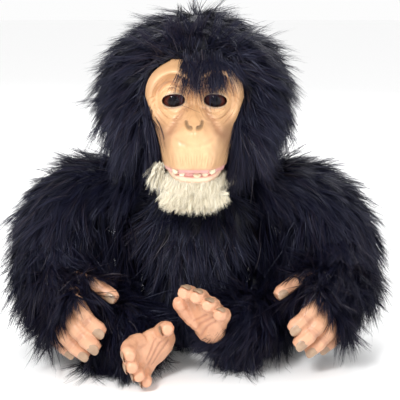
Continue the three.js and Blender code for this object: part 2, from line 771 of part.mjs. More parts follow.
const lowerArch = { halfWidth: 16.5, reach: 17.2, y: -60 };
const lowerGum = join(
  horseshoe(lowerArch.halfWidth, lowerArch.reach, lowerArch.y, 5, 177, 182),
  ...teeth(
    [
      [-10.5, 4.6],
      [-4, 4],
      [2.2, 3.8],
      [9, 5],
    ],
    lowerArch.halfWidth,
    lowerArch.reach - 2.2,
    lowerArch.y,
    181,
    185.5,
  ),
);
piece("lower_gum_and_teeth", lowerGum, FINISH.gum);
piece("tongue", ball([0, -60, 182.4], [9.5, 11, 3.6], 16, 8), FINISH.gum);

const lowerLipOuter = loft(
  faceRings({
    edge: () => LOWER_LIP.bottom,
    top: LOWER_LIP.top,
    back: LOWER_LIP.back,
    inset: 0,
    levels: 6,
    across: 18,
  }),
);
const lowerLipInner = loft(
  faceRings({
    edge: () => LOWER_LIP.bottom + LOWER_LIP.skin,
    top: LOWER_LIP.top + 4,
    back: LOWER_LIP.back + 8,
    inset: LOWER_LIP.skin,
    levels: 4,
    across: 12,
  }),
);
piece("lower_lip", cut(lowerLipOuter, lowerLipInner), FINISH.vinyl);

const chinFur = stack(
  [
    [150, 14, 9, -67],
    [153, 24, 14, -67],
    [160, 32, 18, -68],
    [167.4, 31, 19, -67],
  ],
  18,
);
piece("chin_fur", chinFur, FINISH.chin);

// ---------------------------------------------------------------------------------------------
// Head fur hood
// ---------------------------------------------------------------------------------------------

const hoodLevels = [
  [189, 54, 46, 16],
  [194, 70, 60, 13],
  [206, 83, 72, 9],
  [226, 91, 80, 5],
  [250, 92, 82, 3],
  [272, 86, 79, 3],
  [292, 72, 69, 4],
  [308, 52, 53, 5],
  [319, 31, 33, 6],
  [324, 14, 15, 6],
];
const faceRecess = loft(
  faceRings({
    edge: () => FACE.bottom - 30,
    top: FACE.top + 1.2,
    back: FACE.back + 3,
    inset: -2.5,
    levels: 16,
    across: 14,
  }),
);
const headFur = cut(
  stack(hoodLevels, 20),
  block([-FAR, -FAR, -FAR], [FAR, -50, FAR]),
  faceRecess,
  block([-43, -60, 150], [43, -13, 220]),
  skullBall(-1.8, 16, 10),
  neckRod(34, 150, 206),
);
piece("head_fur", headFur, FINISH.fur);

// ---------------------------------------------------------------------------------------------
// Torso plush and its back flap
// ---------------------------------------------------------------------------------------------

const torsoLevels = [
  [0, 40, 46, 14],
  [3, 48, 55, 14],
  [14, 52, 61, 14],
  [40, 53.5, 64, 13],
  [64, 53.5, 66, 13],
  [76, 56, 66, 13],
  [88, 66, 65, 13],
  [106, 71, 63, 13],
  [128, 71.5, 57, 16],
  [146, 71, 49, 20],
  [158, 67, 43, 21],
  [168, 56, 35, 20],
  [174, 42, 28, 18],
];
const torsoOuter = stack(torsoLevels, 20);
const windowAt = (inset, from) =>
  block(
    [-WINDOW.halfWidth + inset, from, WINDOW.bottom + inset],
    [WINDOW.halfWidth - inset, FAR, WINDOW.top - inset],
  );
const WASHER = { radius: 16, bore: 4.4, thickness: 3, depth: 11.5, pinEnd: 16 };
/** The pocket in the torso side that holds a joint's washer, open to the side by the pin's hole. */
function washerPocket(joint, side) {
  const outside = joint.face - WASHER.depth;
  const at = (x) => [side * x, joint.y, joint.z];
  return join(
    rod(WASHER.radius + 1, at(outside - WASHER.thickness - 1), at(outside + 1), 16),
    rod(6.5, at(joint.face - WASHER.pinEnd - 1), at(joint.face + 9), 12),
  );
}
const torsoPlush = cut(
  torsoOuter,
  block(
    [-c.halfWidth - 1, c.front - 1, c.bottom - 1],
    [c.halfWidth + 1, c.back + 1, c.top + 1],
  ),
  windowAt(0, c.back - 1),
  neckRod(19.5, c.top - 2, FAR),
  neckRod(28, 160, FAR),
  washerPocket(SHOULDER, -1),
  washerPocket(SHOULDER, 1),
  washerPocket(HIP, -1),
  washerPocket(HIP, 1),
);
piece("torso_plush", torsoPlush, FINISH.fur);
piece("back_flap", torsoOuter.intersect(windowAt(0.5, WINDOW.flapInner)), FINISH.fur);

/** A joint's fixed washer inside the torso, and the disc and pin that turn with the limb. */
function limbJoint(joint, side, names) {
  const outside = joint.face - WASHER.depth;
  const at = (x) => [side * x, joint.y, joint.z];
  const washer = cut(
    rod(WASHER.radius, at(outside - WASHER.thickness), at(outside), 16),
    rod(WASHER.bore, at(outside - 10), at(outside + 10), 12),
  );
  piece(names.washer, washer, FINISH.moulding);
  const disc = join(
    rod(18, at(joint.face + 1), at(joint.face + 4), 18),
    rod(4, at(joint.face - WASHER.pinEnd), at(joint.face + 3), 12),
  );
  piece(names.disc, disc, FINISH.moulding);
}
limbJoint(SHOULDER, -1, { washer: "shoulder_washer_right", disc: "shoulder_disc_right" });
limbJoint(SHOULDER, 1, { washer: "shoulder_washer_left", disc: "shoulder_disc_left" });
limbJoint(HIP, -1, { washer: "hip_washer_right", disc: "hip_disc_right" });
limbJoint(HIP, 1, { washer: "hip_washer_left", disc: "hip_disc_left" });

// ---------------------------------------------------------------------------------------------
// Hands and feet
// ---------------------------------------------------------------------------------------------

/** A frame for a hand or foot: t towards the finger tips, b towards the thumb, n out of the palm. */
function extremityFrame(centre, t, b, handed) {
  const along = new THREE.Vector3(...t).normalize();
  const across = new THREE.Vector3(...b);
  across.addScaledVector(along, -across.dot(along)).normalize();
  const out = new THREE.Vector3().crossVectors(along, across).multiplyScalar(handed);
  const origin = new THREE.Vector3(...centre);
  return (point) => {
    const place = origin
      .clone()
      .addScaledVector(along, point[0])
      .addScaledVector(across, point[1])
      .addScaledVector(out, point[2]);
    return [place.x, place.y, place.z];
  };
}

/** One finger or toe through stations [t, b, n, radius] in a frame. */
function digit(frame, stations) {
  const placed = stations.map((station) => [...frame(station), station[3]]);
  return limb(placed, { sides: 8, steps: 4 });
}

/** A flattened oval pad in a frame: `length` by `width` by `thickness`, all half sizes. */
function pad(frame, length, width, thickness, shift = [0, 0, 0]) {
  const geometry = new THREE.SphereGeometry(1, 12, 7);
  const position = geometry.getAttribute("position");
  for (let i = 0; i < position.count; i += 1) {
    const local = [
      shift[0] + position.getX(i) * length,
      shift[1] + position.getY(i) * width,
      shift[2] + position.getZ(i) * thickness,
    ];
    position.setXYZ(i, ...frame(local));
  }
  return solid(geometry);
}

const HAND_DIGITS = [
  [[10, 17, 0, 8.5], [32, 20, 0, 8], [47, 20, 8, 7.6], [53, 20, 18, 7.2]],
  [[12, 6, 0, 8.5], [36, 7, 0, 8], [53, 7, 9, 7.6], [60, 7, 20, 7.2]],
  [[10, -6, 0, 8.5], [33, -8, 1, 8], [48, -9, 10, 7.4], [54, -9, 21, 7]],
  [[6, -17, 0, 8], [24, -22, 2, 7.2], [35, -24, 10, 6.6], [40, -24, 19, 6.2]],
  [[-10, 16, 4, 9], [4, 29, 11, 8.2], [16, 36, 20, 7.4], [23, 38, 26, 7]],
];
const TOE_DIGITS = [
  [[8, 13, 0, 7.5], [20, 17, 2, 7.2], [29, 18, 9, 7], [31, 18, 14, 6.8]],
  [[9, 5, 0, 7.5], [21, 6, 2, 7.2], [30, 6, 9, 7], [32, 6, 14, 6.8]],
  [[7, -4, 0, 7.2], [18, -6, 2, 7], [26, -6, 9, 6.6], [28, -6, 14, 6.4]],
  [[3, -11, 0, 7], [13, -16, 2, 6.6], [20, -17, 8, 6.2], [22, -17, 13, 6]],
];

const HANDS = {
  right: { centre: [-124, -68, 64], t: [0.25, -0.88, -0.4], b: [0.6, -0.12, 0.8], wrist: [-131, -50, 72] },
  left: { centre: [127, -66, 68], t: [-0.22, -0.88, -0.42], b: [-0.6, -0.12, 0.8], wrist: [133, -48, 76] },
};
const FEET = {
  right: {
    centre: [-38, -112, 33],
    t: [-0.75, -0.6, -0.28],
    b: [-0.2, -0.2, 0.96],
    hallux: [[-4, 6, 0, 7.5], [-10, 14, 5, 7.4], [-11, 20, 13, 7], [-9, 22, 18, 6.8]],
    ankle: [-47, -92, 35],
  },
  left: {
    centre: [13, -108, 58],
    t: [0.05, -0.3, 0.95],
    b: [-0.85, 0.5, 0.1],
    hallux: [[-8, 8, 2, 7.5], [0, 18, 5, 7.4], [9, 24, 8, 7], [14, 25, 10, 6.8]],
    ankle: [27, -92, 54],
  },
};

/** A vinyl hand: palm, five digits and the stub that the sleeve is tied round. */
function handSolid(side) {
  const hand = HANDS[side];
  const frame = extremityFrame(hand.centre, hand.t, hand.b, side === "right" ? -1 : 1);
  return join(
    pad(frame, 25, 23, 11),
    ...HAND_DIGITS.map((stations) => digit(frame, stations)),
    rod(12, frame([-4, 0, 0]), hand.wrist, 16),
  );
}

/** A vinyl foot: sole, four toes, the big toe and the stub that the leg is tied round. */
function footSolid(side) {
  const foot = FEET[side];
  const frame = extremityFrame(foot.centre, foot.t, foot.b, side === "right" ? -1 : 1);
  const toes = TOE_DIGITS.map((stations) => digit(frame, stations));
  const sole = pad(frame, 27, 18, 10);
  return join(sole, ...toes, digit(frame, foot.hallux), rod(10, frame([-2, 0, -2]), foot.ankle, 16));
}

// ---------------------------------------------------------------------------------------------
// Arms and legs
// ---------------------------------------------------------------------------------------------

/** The plush tube of a limb: cut flat beside the torso and at the ground, and open at both ends. */
function limbPlush(stations, joint, side, stub, away) {
  const tube = limb(stations, { sides: 14, steps: 12, flat: true });
  const inner = side * joint.face;
  const discPocket = rod(18 + GAP, [inner - side, joint.y, joint.z], [inner + side * 4.5, joint.y, joint.z], 20);
  return cut(
    tube,
    block(
      [Math.min(inner, inner - side * FAR), LIMB_ROOT.front, -FAR],
      [Math.max(inner, inner - side * FAR), FAR, FAR],
    ),
    block([-FAR, -FAR, -FAR], [FAR, FAR, 0]),
    discPocket,
    stub,
    away,
  );
}

/** A point moved along the line from one point to another by a distance. */
function towards(from, to, distance) {
  const start = new THREE.Vector3(...from);
  const step = new THREE.Vector3(...to).sub(start).normalize();
  const place = start.addScaledVector(step, distance);
  return [place.x, place.y, place.z];
}

const ARM_STATIONS = {
  right: [
    [-58, 14, 148, 33],
    [-86, 13, 148, 35],
    [-112, 8, 142, 40],
    [-132, -2, 116, 43],
    [-139, -12, 80, 43],
    [-140, -26, 62, 36],
    [-133, -46, 68, 25],
    [-129, -55, 70, 18],
  ],
  left: [
    [58, 14, 148, 33],
    [86, 13, 148, 35],
    [112, 8, 141, 40],
    [133, -2, 115, 43],
    [140, -12, 80, 43],
    [142, -26, 63, 36],
    [136, -44, 72, 25],
    [131, -53, 74, 18],
  ],
};
const LEG_STATIONS = {
  right: [
    [-44, 8, 38, 33],
    [-62, 6, 38, 33],
    [-71, -16, 37, 32],
    [-68, -48, 36, 30],
    [-58, -76, 35, 25],
    [-50, -90, 35, 17],
  ],
  left: [
    [44, 8, 38, 33],
    [62, 6, 38, 33],
    [70, -16, 38, 32],
    [64, -50, 41, 29],
    [46, -77, 47, 24],
    [30, -87, 53, 16],
  ],
};

for (const side of ["right", "left"]) {
  const sign = side === "right" ? -1 : 1;

  const hand = HANDS[side];
  const handFrame = extremityFrame(hand.centre, hand.t, hand.b, sign);
  const wristDeep = towards(hand.centre, hand.wrist, 48);
  const armEnd = ARM_STATIONS[side][ARM_STATIONS[side].length - 1].slice(0, 3);
  const wristWay = join(
    rod(12 + GAP, hand.centre, towards(hand.centre, hand.wrist, 22), 16),
    rod(15, armEnd, wristDeep, 16),
  );
  const arm = limbPlush(ARM_STATIONS[side], SHOULDER, sign, wristWay, pad(handFrame, 25.6, 24, 12));
  piece(`arm_plush_${side}`, arm, FINISH.fur);
  piece(`hand_${side}`, handSolid(side), FINISH.vinyl);

  const foot = FEET[side];
  const footFrame = extremityFrame(foot.centre, foot.t, foot.b, sign);
  const legEnd = LEG_STATIONS[side][LEG_STATIONS[side].length - 1].slice(0, 3);
  const ankleWay = rod(13, legEnd, towards(foot.centre, foot.ankle, 34), 16);
  const leg = limbPlush(LEG_STATIONS[side], HIP, sign, ankleWay, pad(footFrame, 28, 19, 11));
  piece(`leg_plush_${side}`, leg, FINISH.fur);
  piece(`foot_${side}`, footSolid(side), FINISH.vinyl);
}

export default chimp;
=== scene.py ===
"""The look of a seated animatronic plush chimpanzee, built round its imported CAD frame.

Metres, +Z up. The animal faces -Y and its right side is -X. Sizes written in the tables below are in
millimetres and are multiplied by MM where they are used.
"""

import itertools
import json
import math

import bpy
import numpy as np
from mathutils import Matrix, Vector, noise
from mathutils.bvhtree import BVHTree


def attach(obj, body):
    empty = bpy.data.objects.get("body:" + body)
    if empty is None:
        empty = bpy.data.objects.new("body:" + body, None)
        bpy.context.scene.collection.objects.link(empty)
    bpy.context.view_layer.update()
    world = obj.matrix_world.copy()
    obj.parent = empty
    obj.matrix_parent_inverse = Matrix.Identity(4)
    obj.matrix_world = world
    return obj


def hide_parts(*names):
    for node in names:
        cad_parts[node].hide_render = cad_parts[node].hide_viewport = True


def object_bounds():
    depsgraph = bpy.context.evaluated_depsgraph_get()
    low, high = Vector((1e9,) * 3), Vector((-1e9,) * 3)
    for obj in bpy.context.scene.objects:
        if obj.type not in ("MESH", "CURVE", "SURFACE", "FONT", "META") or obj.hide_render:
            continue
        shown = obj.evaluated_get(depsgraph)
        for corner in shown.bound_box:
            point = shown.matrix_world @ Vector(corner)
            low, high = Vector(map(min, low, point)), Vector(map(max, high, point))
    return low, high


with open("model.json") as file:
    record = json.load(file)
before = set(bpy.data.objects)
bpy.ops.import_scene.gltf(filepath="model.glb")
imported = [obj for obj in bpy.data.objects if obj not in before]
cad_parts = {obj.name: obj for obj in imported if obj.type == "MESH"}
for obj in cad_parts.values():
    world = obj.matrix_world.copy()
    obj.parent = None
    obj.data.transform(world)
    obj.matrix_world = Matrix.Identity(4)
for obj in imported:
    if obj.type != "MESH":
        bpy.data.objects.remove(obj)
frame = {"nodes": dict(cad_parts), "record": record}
cad_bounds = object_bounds()
NODES = frame["nodes"]
MM = 0.001
DOWN = np.array([0.0, 0.0, -1.0])
FLOOR_CLEAR = 0.6 * MM  # no fur comes lower than this
CAD_LOW, CAD_HIGH = (np.array(corner, float) for corner in cad_bounds)
FUR_ROOM = 0.028 * (CAD_HIGH - CAD_LOW) + 9 * MM  # how far fur may stand proud of the frame's box
FUR_LOW = CAD_LOW - FUR_ROOM
FUR_LOW[2] = FLOOR_CLEAR
FUR_HIGH = CAD_HIGH + FUR_ROOM
SIDES = (("right", -1), ("left", 1))  # the animal's own sides, and the sign of x there
rng = np.random.default_rng(20)

# ---- Driving dimensions, in millimetres ----

EYE = {"x": 18.6, "y": -51.3, "z": 246.7, "radius": 11.5}
EYE_OPENING = {"half_width": 10.3, "above": 6.1, "below": 5.4}
FACE = {"bottom": 192.0, "top": 282.0, "rim": -47.0, "back": -30.0, "lip_fall": 3.0, "lip_half": 28.0}
MOUTH = {"lower_lip": 180.6, "lift": 8.0}  # the lower lip's height, and its rise to the corners
FACE_OUTLINE = [  # height, half width
    (166, 22),
    (178, 27),
    (190, 30),
    (205, 32.5),
    (222, 36.5),
    (236, 41),
    (251, 45),
    (262, 43.5),
    (270, 39),
    (277, 30),
    (282, 18),
]
FACE_GRID = (190, 220)  # columns, rows

# Creases of the face: points (x, z) on the animal's left, width, depth. They are mirrored.
EYE_CREASES = [  # measured from the eye's centre, x outwards
    ([(14.4, 4), (11.5, 11.5), (5, 16.7), (-3, 15.2), (-9.6, 8), (-12.5, 1)], 1.3, 1.3),
    ([(12.4, 2), (9, 9), (1, 11.8), (-6, 9.6), (-10.6, 4)], 0.9, 0.7),
    ([(11.8, -3), (8, -8), (0, -10.2), (-7, -8.4), (-11.5, -3.6)], 0.9, 0.6),
    ([(13.4, -8), (7, -14.6), (-1, -15.8), (-8, -12.6), (-12, -8)], 1.2, 0.9),
    ([(18, -8), (12, -17.5), (4, -21)], 1.1, 0.45),
    ([(17, 3), (21, 1), (24, -3)], 0.8, 0.35),
    ([(17, -1), (21, -5), (23, -10)], 0.8, 0.35),
]
NOSTRIL_DEPTH = 4.6
LIP_ROLL = 1.7  # the radius that the upper lip's edge is rolled under with
LID_RADIUS = {"outer": 12.75, "inner": 12.05}
LIP_FOLDS = [0, 1.9, 4.4, 6.3, 9.2, 11.4, 14.8, 18.6, 21.6]  # where fine folds cross the upper lip
FACE_CREASES = [  # measured from the middle line, z above the floor
    ([(9.5, 240), (13.8, 234), (18.5, 226), (26, 217)], 2.0, 1.7),
    ([(0, 241.5), (5, 241), (9.5, 238.6), (13, 234)], 1.6, 0.8),
    ([(0, 212.4), (8, 213.6), (16.5, 218.0), (22, 223)], 1.8, 0.5),
    ([(30, 214), (26, 206), (24, 199)], 1.2, 0.5),
    ([(3.2, 243), (4.6, 250), (3.4, 256)], 0.9, 0.4),
    *[([(x, 194), (1.1 * x + 0.4, 206 + 3 * math.sin(2 * x))], 0.6, 0.5 - 0.01 * x) for x in LIP_FOLDS],
]

# Digits as [towards the tips, towards the thumb, out of the palm, radius], from the root to the tip.
HAND_DIGITS = [
    [(10, 17, 0, 8.5), (32, 20, 0, 8), (47, 20, 8, 7.6), (53, 20, 18, 7.2)],
    [(12, 6, 0, 8.5), (36, 7, 0, 8), (53, 7, 9, 7.6), (60, 7, 20, 7.2)],
    [(10, -6, 0, 8.5), (33, -8, 1, 8), (48, -9, 10, 7.4), (54, -9, 21, 7)],
    [(6, -17, 0, 8), (24, -22, 2, 7.2), (35, -24, 10, 6.6), (40, -24, 19, 6.2)],
    [(-10, 16, 4, 9), (4, 29, 11, 8.2), (16, 36, 20, 7.4), (23, 38, 26, 7)],
]
TOE_DIGITS = [
    [(8, 13, 0, 7.5), (20, 17, 2, 7.2), (29, 18, 9, 7), (31, 18, 14, 6.8)],
    [(9, 5, 0, 7.5), (21, 6, 2, 7.2), (30, 6, 9, 7), (32, 6, 14, 6.8)],
    [(7, -4, 0, 7.2), (18, -6, 2, 7), (26, -6, 9, 6.6), (28, -6, 14, 6.4)],
    [(3, -11, 0, 7), (13, -16, 2, 6.6), (20, -17, 8, 6.2), (22, -17, 13, 6)],
]
BIG_TOES = {
    "right": [(-4, 6, 0, 7.5), (-10, 14, 5, 7.4), (-11, 20, 13, 7), (-9, 22, 18, 6.8)],
    "left": [(-8, 8, 2, 7.5), (0, 18, 5, 7.4), (9, 24, 8, 7), (14, 25, 10, 6.8)],
}
FOLD_GAP = 2.1  # between the three folds over a knuckle
HANDS = {
    "right": {"centre": (-124, -68, 64), "t": (0.25, -0.88, -0.4), "b": (0.6, -0.12, 0.8)},
    "left": {"centre": (127, -66, 68), "t": (-0.22, -0.88, -0.42), "b": (-0.6, -0.12, 0.8)},
}
FEET = {
    "right": {"centre": (-38, -112, 33), "t": (-0.75, -0.6, -0.28), "b": (-0.2, -0.2, 0.96)},
    "left": {"centre": (13, -108, 58), "t": (0.05, -0.3, 0.95), "b": (-0.85, 0.5, 0.1)},
}

# The middle lines of the limbs, from the torso to the wrist or ankle.
LIMB_LINES = {
    "arm_right": [
        (-73, 14, 148),
        (-112, 8, 142),
        (-132, -2, 116),
        (-139, -12, 80),
        (-138, -34, 64),
        (-129, -55, 70),
    ],
    "arm_left": [
        (73, 14, 148),
        (112, 8, 141),
        (133, -2, 115),
        (140, -12, 80),
        (139, -34, 66),
        (131, -53, 74),
    ],
    "leg_right": [(-50, 8, 38), (-71, -16, 37), (-68, -48, 36), (-58, -76, 35), (-50, -90, 35)],
    "leg_left": [(50, 8, 38), (70, -16, 38), (64, -50, 41), (46, -77, 47), (30, -87, 53)],
}

# ---- Small helpers ----


def unit(vectors):
    """Vectors made one long, along the last axis."""
    lengths = np.linalg.norm(vectors, axis=-1, keepdims=True)
    return vectors / np.maximum(lengths, 1e-9)


def smoothstep(low, high, value):
    t = np.clip((value - low) / (high - low), 0, 1)
    return t * t * (3 - 2 * t)


def bump(distance, power=2):
    """A smooth bump of height 1 that fades with distance. A higher power gives it a flatter top."""
    return np.exp(-(np.abs(distance) ** power))


def rounded_wave(wave, power):
    """A sine or cosine raised to a power with its sign kept, for outlines squarer than a circle."""
    return np.sign(wave) * np.abs(wave) ** power


def line_distance(points, line):
    """Distance of each point to a polyline, and how far along the polyline the nearest place is."""
    best = np.full(len(points), np.inf)
    place = np.zeros(len(points))
    travelled = 0.0
    for start, end in zip(line[:-1], line[1:]):
        step = end - start
        length = np.linalg.norm(step)
        t = np.clip((points - start) @ step / length**2, 0, 1)
        distance = np.linalg.norm(points - start - t[:, None] * step, axis=1)
        nearer = distance < best
        best = np.where(nearer, distance, best)
        place = np.where(nearer, travelled + t * length, place)
        travelled += length
    return best, place


def new_object(name, data):
    """A new object in the scene."""
    made = bpy.data.objects.new(name, data)
    bpy.context.scene.collection.objects.link(made)
    return made


def mesh_object(name, points, faces, material):
    """A smooth mesh object from an array of points and an array of faces with as many corners each."""
    mesh = bpy.data.meshes.new(name)
    corners = faces.shape[1]
    mesh.vertices.add(len(points))
    mesh.vertices.foreach_set("co", np.ascontiguousarray(points, np.float32).ravel())
    mesh.loops.add(faces.size)
    mesh.loops.foreach_set("vertex_index", np.ascontiguousarray(faces, np.int32).ravel())
    mesh.polygons.add(len(faces))
    mesh.polygons.foreach_set("loop_start", np.arange(0, faces.size, corners, dtype=np.int32))
    mesh.polygons.foreach_set("loop_total", np.full(len(faces), corners, np.int32))
    mesh.polygons.foreach_set("use_smooth", np.ones(len(faces), bool))
    mesh.update(calc_edges=True)
    mesh.validate()
    mesh.materials.append(material)
    return new_object(name, mesh)


def grid_faces(rows, columns, closed=False):
    """The quads of a grid of points stored row by row. A closed grid joins its two end columns."""
    across = np.arange(columns if closed else columns - 1)
    row = np.arange(rows - 1)[:, None] * columns
    here = (row + across).ravel()
    right = (row + (across + 1) % columns).ravel()
    return np.stack([here, right, right + columns, here + columns], axis=1)


def grid_object(name, grid, material, closed=False, flip=False):
    """A mesh object skinned over a grid of points (rows, columns, 3)."""
    rows, columns = grid.shape[:2]
    faces = grid_faces(rows, columns, closed)
    if flip:
        faces = faces[:, ::-1]
    return mesh_object(name, grid.reshape(-1, 3), faces, material)


def arrays_of(mesh):
    """The vertex positions, normals and triangles of a mesh as arrays."""
    points = np.zeros(len(mesh.vertices) * 3, np.float32)
    mesh.vertices.foreach_get("co", points)
    normals = np.zeros(len(mesh.vertices) * 3, np.float32)
    mesh.vertices.foreach_get("normal", normals)
    mesh.calc_loop_triangles()
    triangles = np.zeros(len(mesh.loop_triangles) * 3, np.int32)
    mesh.loop_triangles.foreach_get("vertices", triangles)
    return (
        points.reshape(-1, 3).astype(float),
        normals.reshape(-1, 3).astype(float),
        triangles.reshape(-1, 3),
    )


def noise_at(points, scale):
    """Smooth noise from -1 to 1 at each point."""
    return np.array([noise.noise(Vector(point) * scale) for point in points])


def set_points(mesh, points):
    mesh.vertices.foreach_set("co", points.astype(np.float32).ravel())
    mesh.update()


def remeshed(name, node, voxel, rounds, material):
    """A rounded copy of a CAD node, for a soft piece: its surface is rebuilt evenly and smoothed."""
    made = new_object(name, NODES[node].data.copy())
    remesh = made.modifiers.new("even", "REMESH")
    remesh.mode = "VOXEL"
    remesh.voxel_size = voxel
    smooth = made.modifiers.new("round", "SMOOTH")
    smooth.factor = 0.5
    smooth.iterations = rounds
    evaluated = made.evaluated_get(bpy.context.evaluated_depsgraph_get())
    mesh = bpy.data.meshes.new_from_object(evaluated)
    made.modifiers.clear()
    made.data = mesh
    mesh.materials.clear()
    mesh.materials.append(material)
    mesh.polygons.foreach_set("use_smooth", np.ones(len(mesh.polygons), bool))
    mesh.update()
    return made


def blend(first, second, share):
    """From one colour to another as `share` goes from 0 to 1."""
    return np.array(first) * (1 - share) + np.array(second) * share


def tint(made, colours):
    """Stores one opaque colour per vertex, which the skin materials read."""
    opaque = np.insert(colours.reshape(-1, 3), 3, 1.0, axis=1)
    layer = made.data.color_attributes.new("tint", "FLOAT_COLOR", "POINT")
    layer.data.foreach_set("color", np.ascontiguousarray(opaque, np.float32).ravel())


# ---- Materials ----


def node_material(name):
    """A new material, its node tree and its Principled shader."""
    made = bpy.data.materials.new(name)
    made.use_nodes = True
    shader = made.node_tree.nodes["Principled BSDF"]
    return made, made.node_tree, shader


def noise_node(tree, scale, detail=4.0, source="Object"):
    coordinates = tree.nodes.new("ShaderNodeTexCoord")
    made = tree.nodes.new("ShaderNodeTexNoise")
    made.inputs["Scale"].default_value = scale
    made.inputs["Detail"].default_value = detail
    tree.links.new(coordinates.outputs[source], made.inputs["Vector"])
    return made.outputs["Fac"]


def ramp_node(tree, factor, stops):
    """A colour ramp through (position, (r, g, b)) stops."""
    made = tree.nodes.new("ShaderNodeValToRGB")
    elements = made.color_ramp.elements
    while len(elements) < len(stops):
        elements.new(0.5)
    for element, (position, colour) in zip(elements, stops):
        element.position = position
        element.color = (*colour, 1)
    tree.links.new(factor, made.inputs["Fac"])
    return made.outputs["Color"]


def multiplied(tree, first, second):
    """Two colours multiplied."""
    made = tree.nodes.new("ShaderNodeMix")
    made.data_type = "RGBA"
    made.blend_type = "MULTIPLY"
    made.inputs["Factor"].default_value = 1
    tree.links.new(first, made.inputs["A"])
    tree.links.new(second, made.inputs["B"])
    return made.outputs["Result"]


def roughen(tree, shader, factor, low, high):
    """Drives roughness between two values by a factor."""
    made = tree.nodes.new("ShaderNodeMapRange")
    made.inputs["To Min"].default_value = low
    made.inputs["To Max"].default_value = high
    tree.links.new(factor, made.inputs["Value"])
    tree.links.new(made.outputs["Result"], shader.inputs["Roughness"])


def emboss(tree, shader, height, strength, distance):
    """Bump from a height, `distance` deep in metres."""
    made = tree.nodes.new("ShaderNodeBump")
    made.inputs["Strength"].default_value = strength
    made.inputs["Distance"].default_value = distance
    tree.links.new(height, made.inputs["Height"])
    tree.links.new(made.outputs["Normal"], shader.inputs["Normal"])


def moulded(name, dark, light, scale, grain, roughness, metallic=0.0, coat=0.0):
    """A moulded, cast or sheet material: mottled colour, fine grain and uneven gloss."""
    made, tree, shader = node_material(name)
    mottle = noise_node(tree, scale)
    tree.links.new(ramp_node(tree, mottle, [(0.3, dark), (0.7, light)]), shader.inputs["Base Color"])
    fine = noise_node(tree, scale * 12, 6)
    roughen(tree, shader, fine, *roughness)
    emboss(tree, shader, fine, 0.35, grain)
    shader.inputs["Metallic"].default_value = metallic
    shader.inputs["Coat Weight"].default_value = coat
    return made


def skin_material(name, roughness, coat):
    """Painted soft vinyl: the vertex tint, mottled and speckled, with fine pores."""
    made, tree, shader = node_material(name)
    base = tree.nodes.new("ShaderNodeAttribute")
    base.attribute_name = "tint"
    mottle = ramp_node(tree, noise_node(tree, 90, 5), [(0.3, (0.84, 0.8, 0.78)), (0.7, (1, 1, 1))])
    tree.links.new(multiplied(tree, base.outputs["Color"], mottle), shader.inputs["Base Color"])
    pores = noise_node(tree, 900, 3)
    roughen(tree, shader, pores, *roughness)
    emboss(tree, shader, pores, 0.3, 0.25 * MM)
    shader.inputs["Coat Weight"].default_value = coat
    shader.inputs["Coat Roughness"].default_value = 0.3
    return made


def strand_material(name, stops, roughness, root):
    """Fur fibre: each strand's tone is its place across the UV map, and its root is darkened to `root` as
    painted shade.
    """
    made, tree, shader = node_material(name)
    layout = tree.nodes.new("ShaderNodeUVMap")
    layout.uv_map = "OFBake"
    split = tree.nodes.new("ShaderNodeSeparateXYZ")
    tree.links.new(layout.outputs["UV"], split.inputs["Vector"])
    tone = ramp_node(tree, split.outputs["X"], stops)
    # Painted shade: each strand darkens from just past its middle down to its root.
    painted_root_shade = ramp_node(tree, split.outputs["Y"], [(0.0, (root, root, root)), (0.55, (1, 1, 1))])
    tree.links.new(multiplied(tree, tone, painted_root_shade), shader.inputs["Base Color"])
    roughen(tree, shader, split.outputs["X"], *roughness)
    shader.inputs["Specular IOR Level"].default_value = 0.3
    shader.inputs["Specular Tint"].default_value = (0.75, 0.78, 1.0, 1.0)
    return made


def undercoat_material(name, dark, light):
    """The short, dense pile that shows between the strands."""
    made, tree, shader = node_material(name)
    pile = noise_node(tree, 520, 6)
    tree.links.new(ramp_node(tree, pile, [(0.35, dark), (0.68, light)]), shader.inputs["Base Color"])
    emboss(tree, shader, pile, 1.0, 1.6 * MM)
    shader.inputs["Roughness"].default_value = 0.85
    shader.inputs["Sheen Weight"].default_value = 0.08
    return made


def eye_material():
    """A dark eye under a clear coat: pupil, red-brown iris with an uneven edge, and a dark rim."""
    made, tree, shader = node_material("eye")
    coordinates = tree.nodes.new("ShaderNodeTexCoord")
    split = tree.nodes.new("ShaderNodeSeparateXYZ")
    tree.links.new(coordinates.outputs["Object"], split.inputs["Vector"])
    flat = tree.nodes.new("ShaderNodeCombineXYZ")
    tree.links.new(split.outputs["X"], flat.inputs["X"])
    tree.links.new(split.outputs["Z"], flat.inputs["Y"])
    away = tree.nodes.new("ShaderNodeVectorMath")
    away.operation = "LENGTH"
    tree.links.new(flat.outputs["Vector"], away.inputs[0])
    scaled = tree.nodes.new("ShaderNodeMath")
    scaled.operation = "DIVIDE"
    scaled.inputs[1].default_value = EYE["radius"] * MM
    tree.links.new(away.outputs["Value"], scaled.inputs[0])
    streaks = noise_node(tree, 700, 4)
    wander = tree.nodes.new("ShaderNodeMath")
    wander.operation = "MULTIPLY_ADD"
    wander.inputs[1].default_value = 0.09
    tree.links.new(streaks, wander.inputs[0])
    tree.links.new(scaled.outputs["Value"], wander.inputs[2])
    rings = [
        (0.0, (0.002, 0.002, 0.003)),
        (0.45, (0.003, 0.002, 0.003)),
        (0.53, (0.035, 0.009, 0.007)),
        (0.66, (0.07, 0.014, 0.010)),
        (0.84, (0.028, 0.006, 0.006)),
        (0.93, (0.008, 0.004, 0.004)),
    ]
    tree.links.new(ramp_node(tree, wander.outputs["Value"], rings), shader.inputs["Base Color"])
    roughen(tree, shader, streaks, 0.12, 0.3)
    shader.inputs["Specular IOR Level"].default_value = 0.0
    shader.inputs["Coat Weight"].default_value = 1.0
    shader.inputs["Coat Roughness"].default_value = 0.02
    shader.inputs["Coat IOR"].default_value = 1.26
    return made
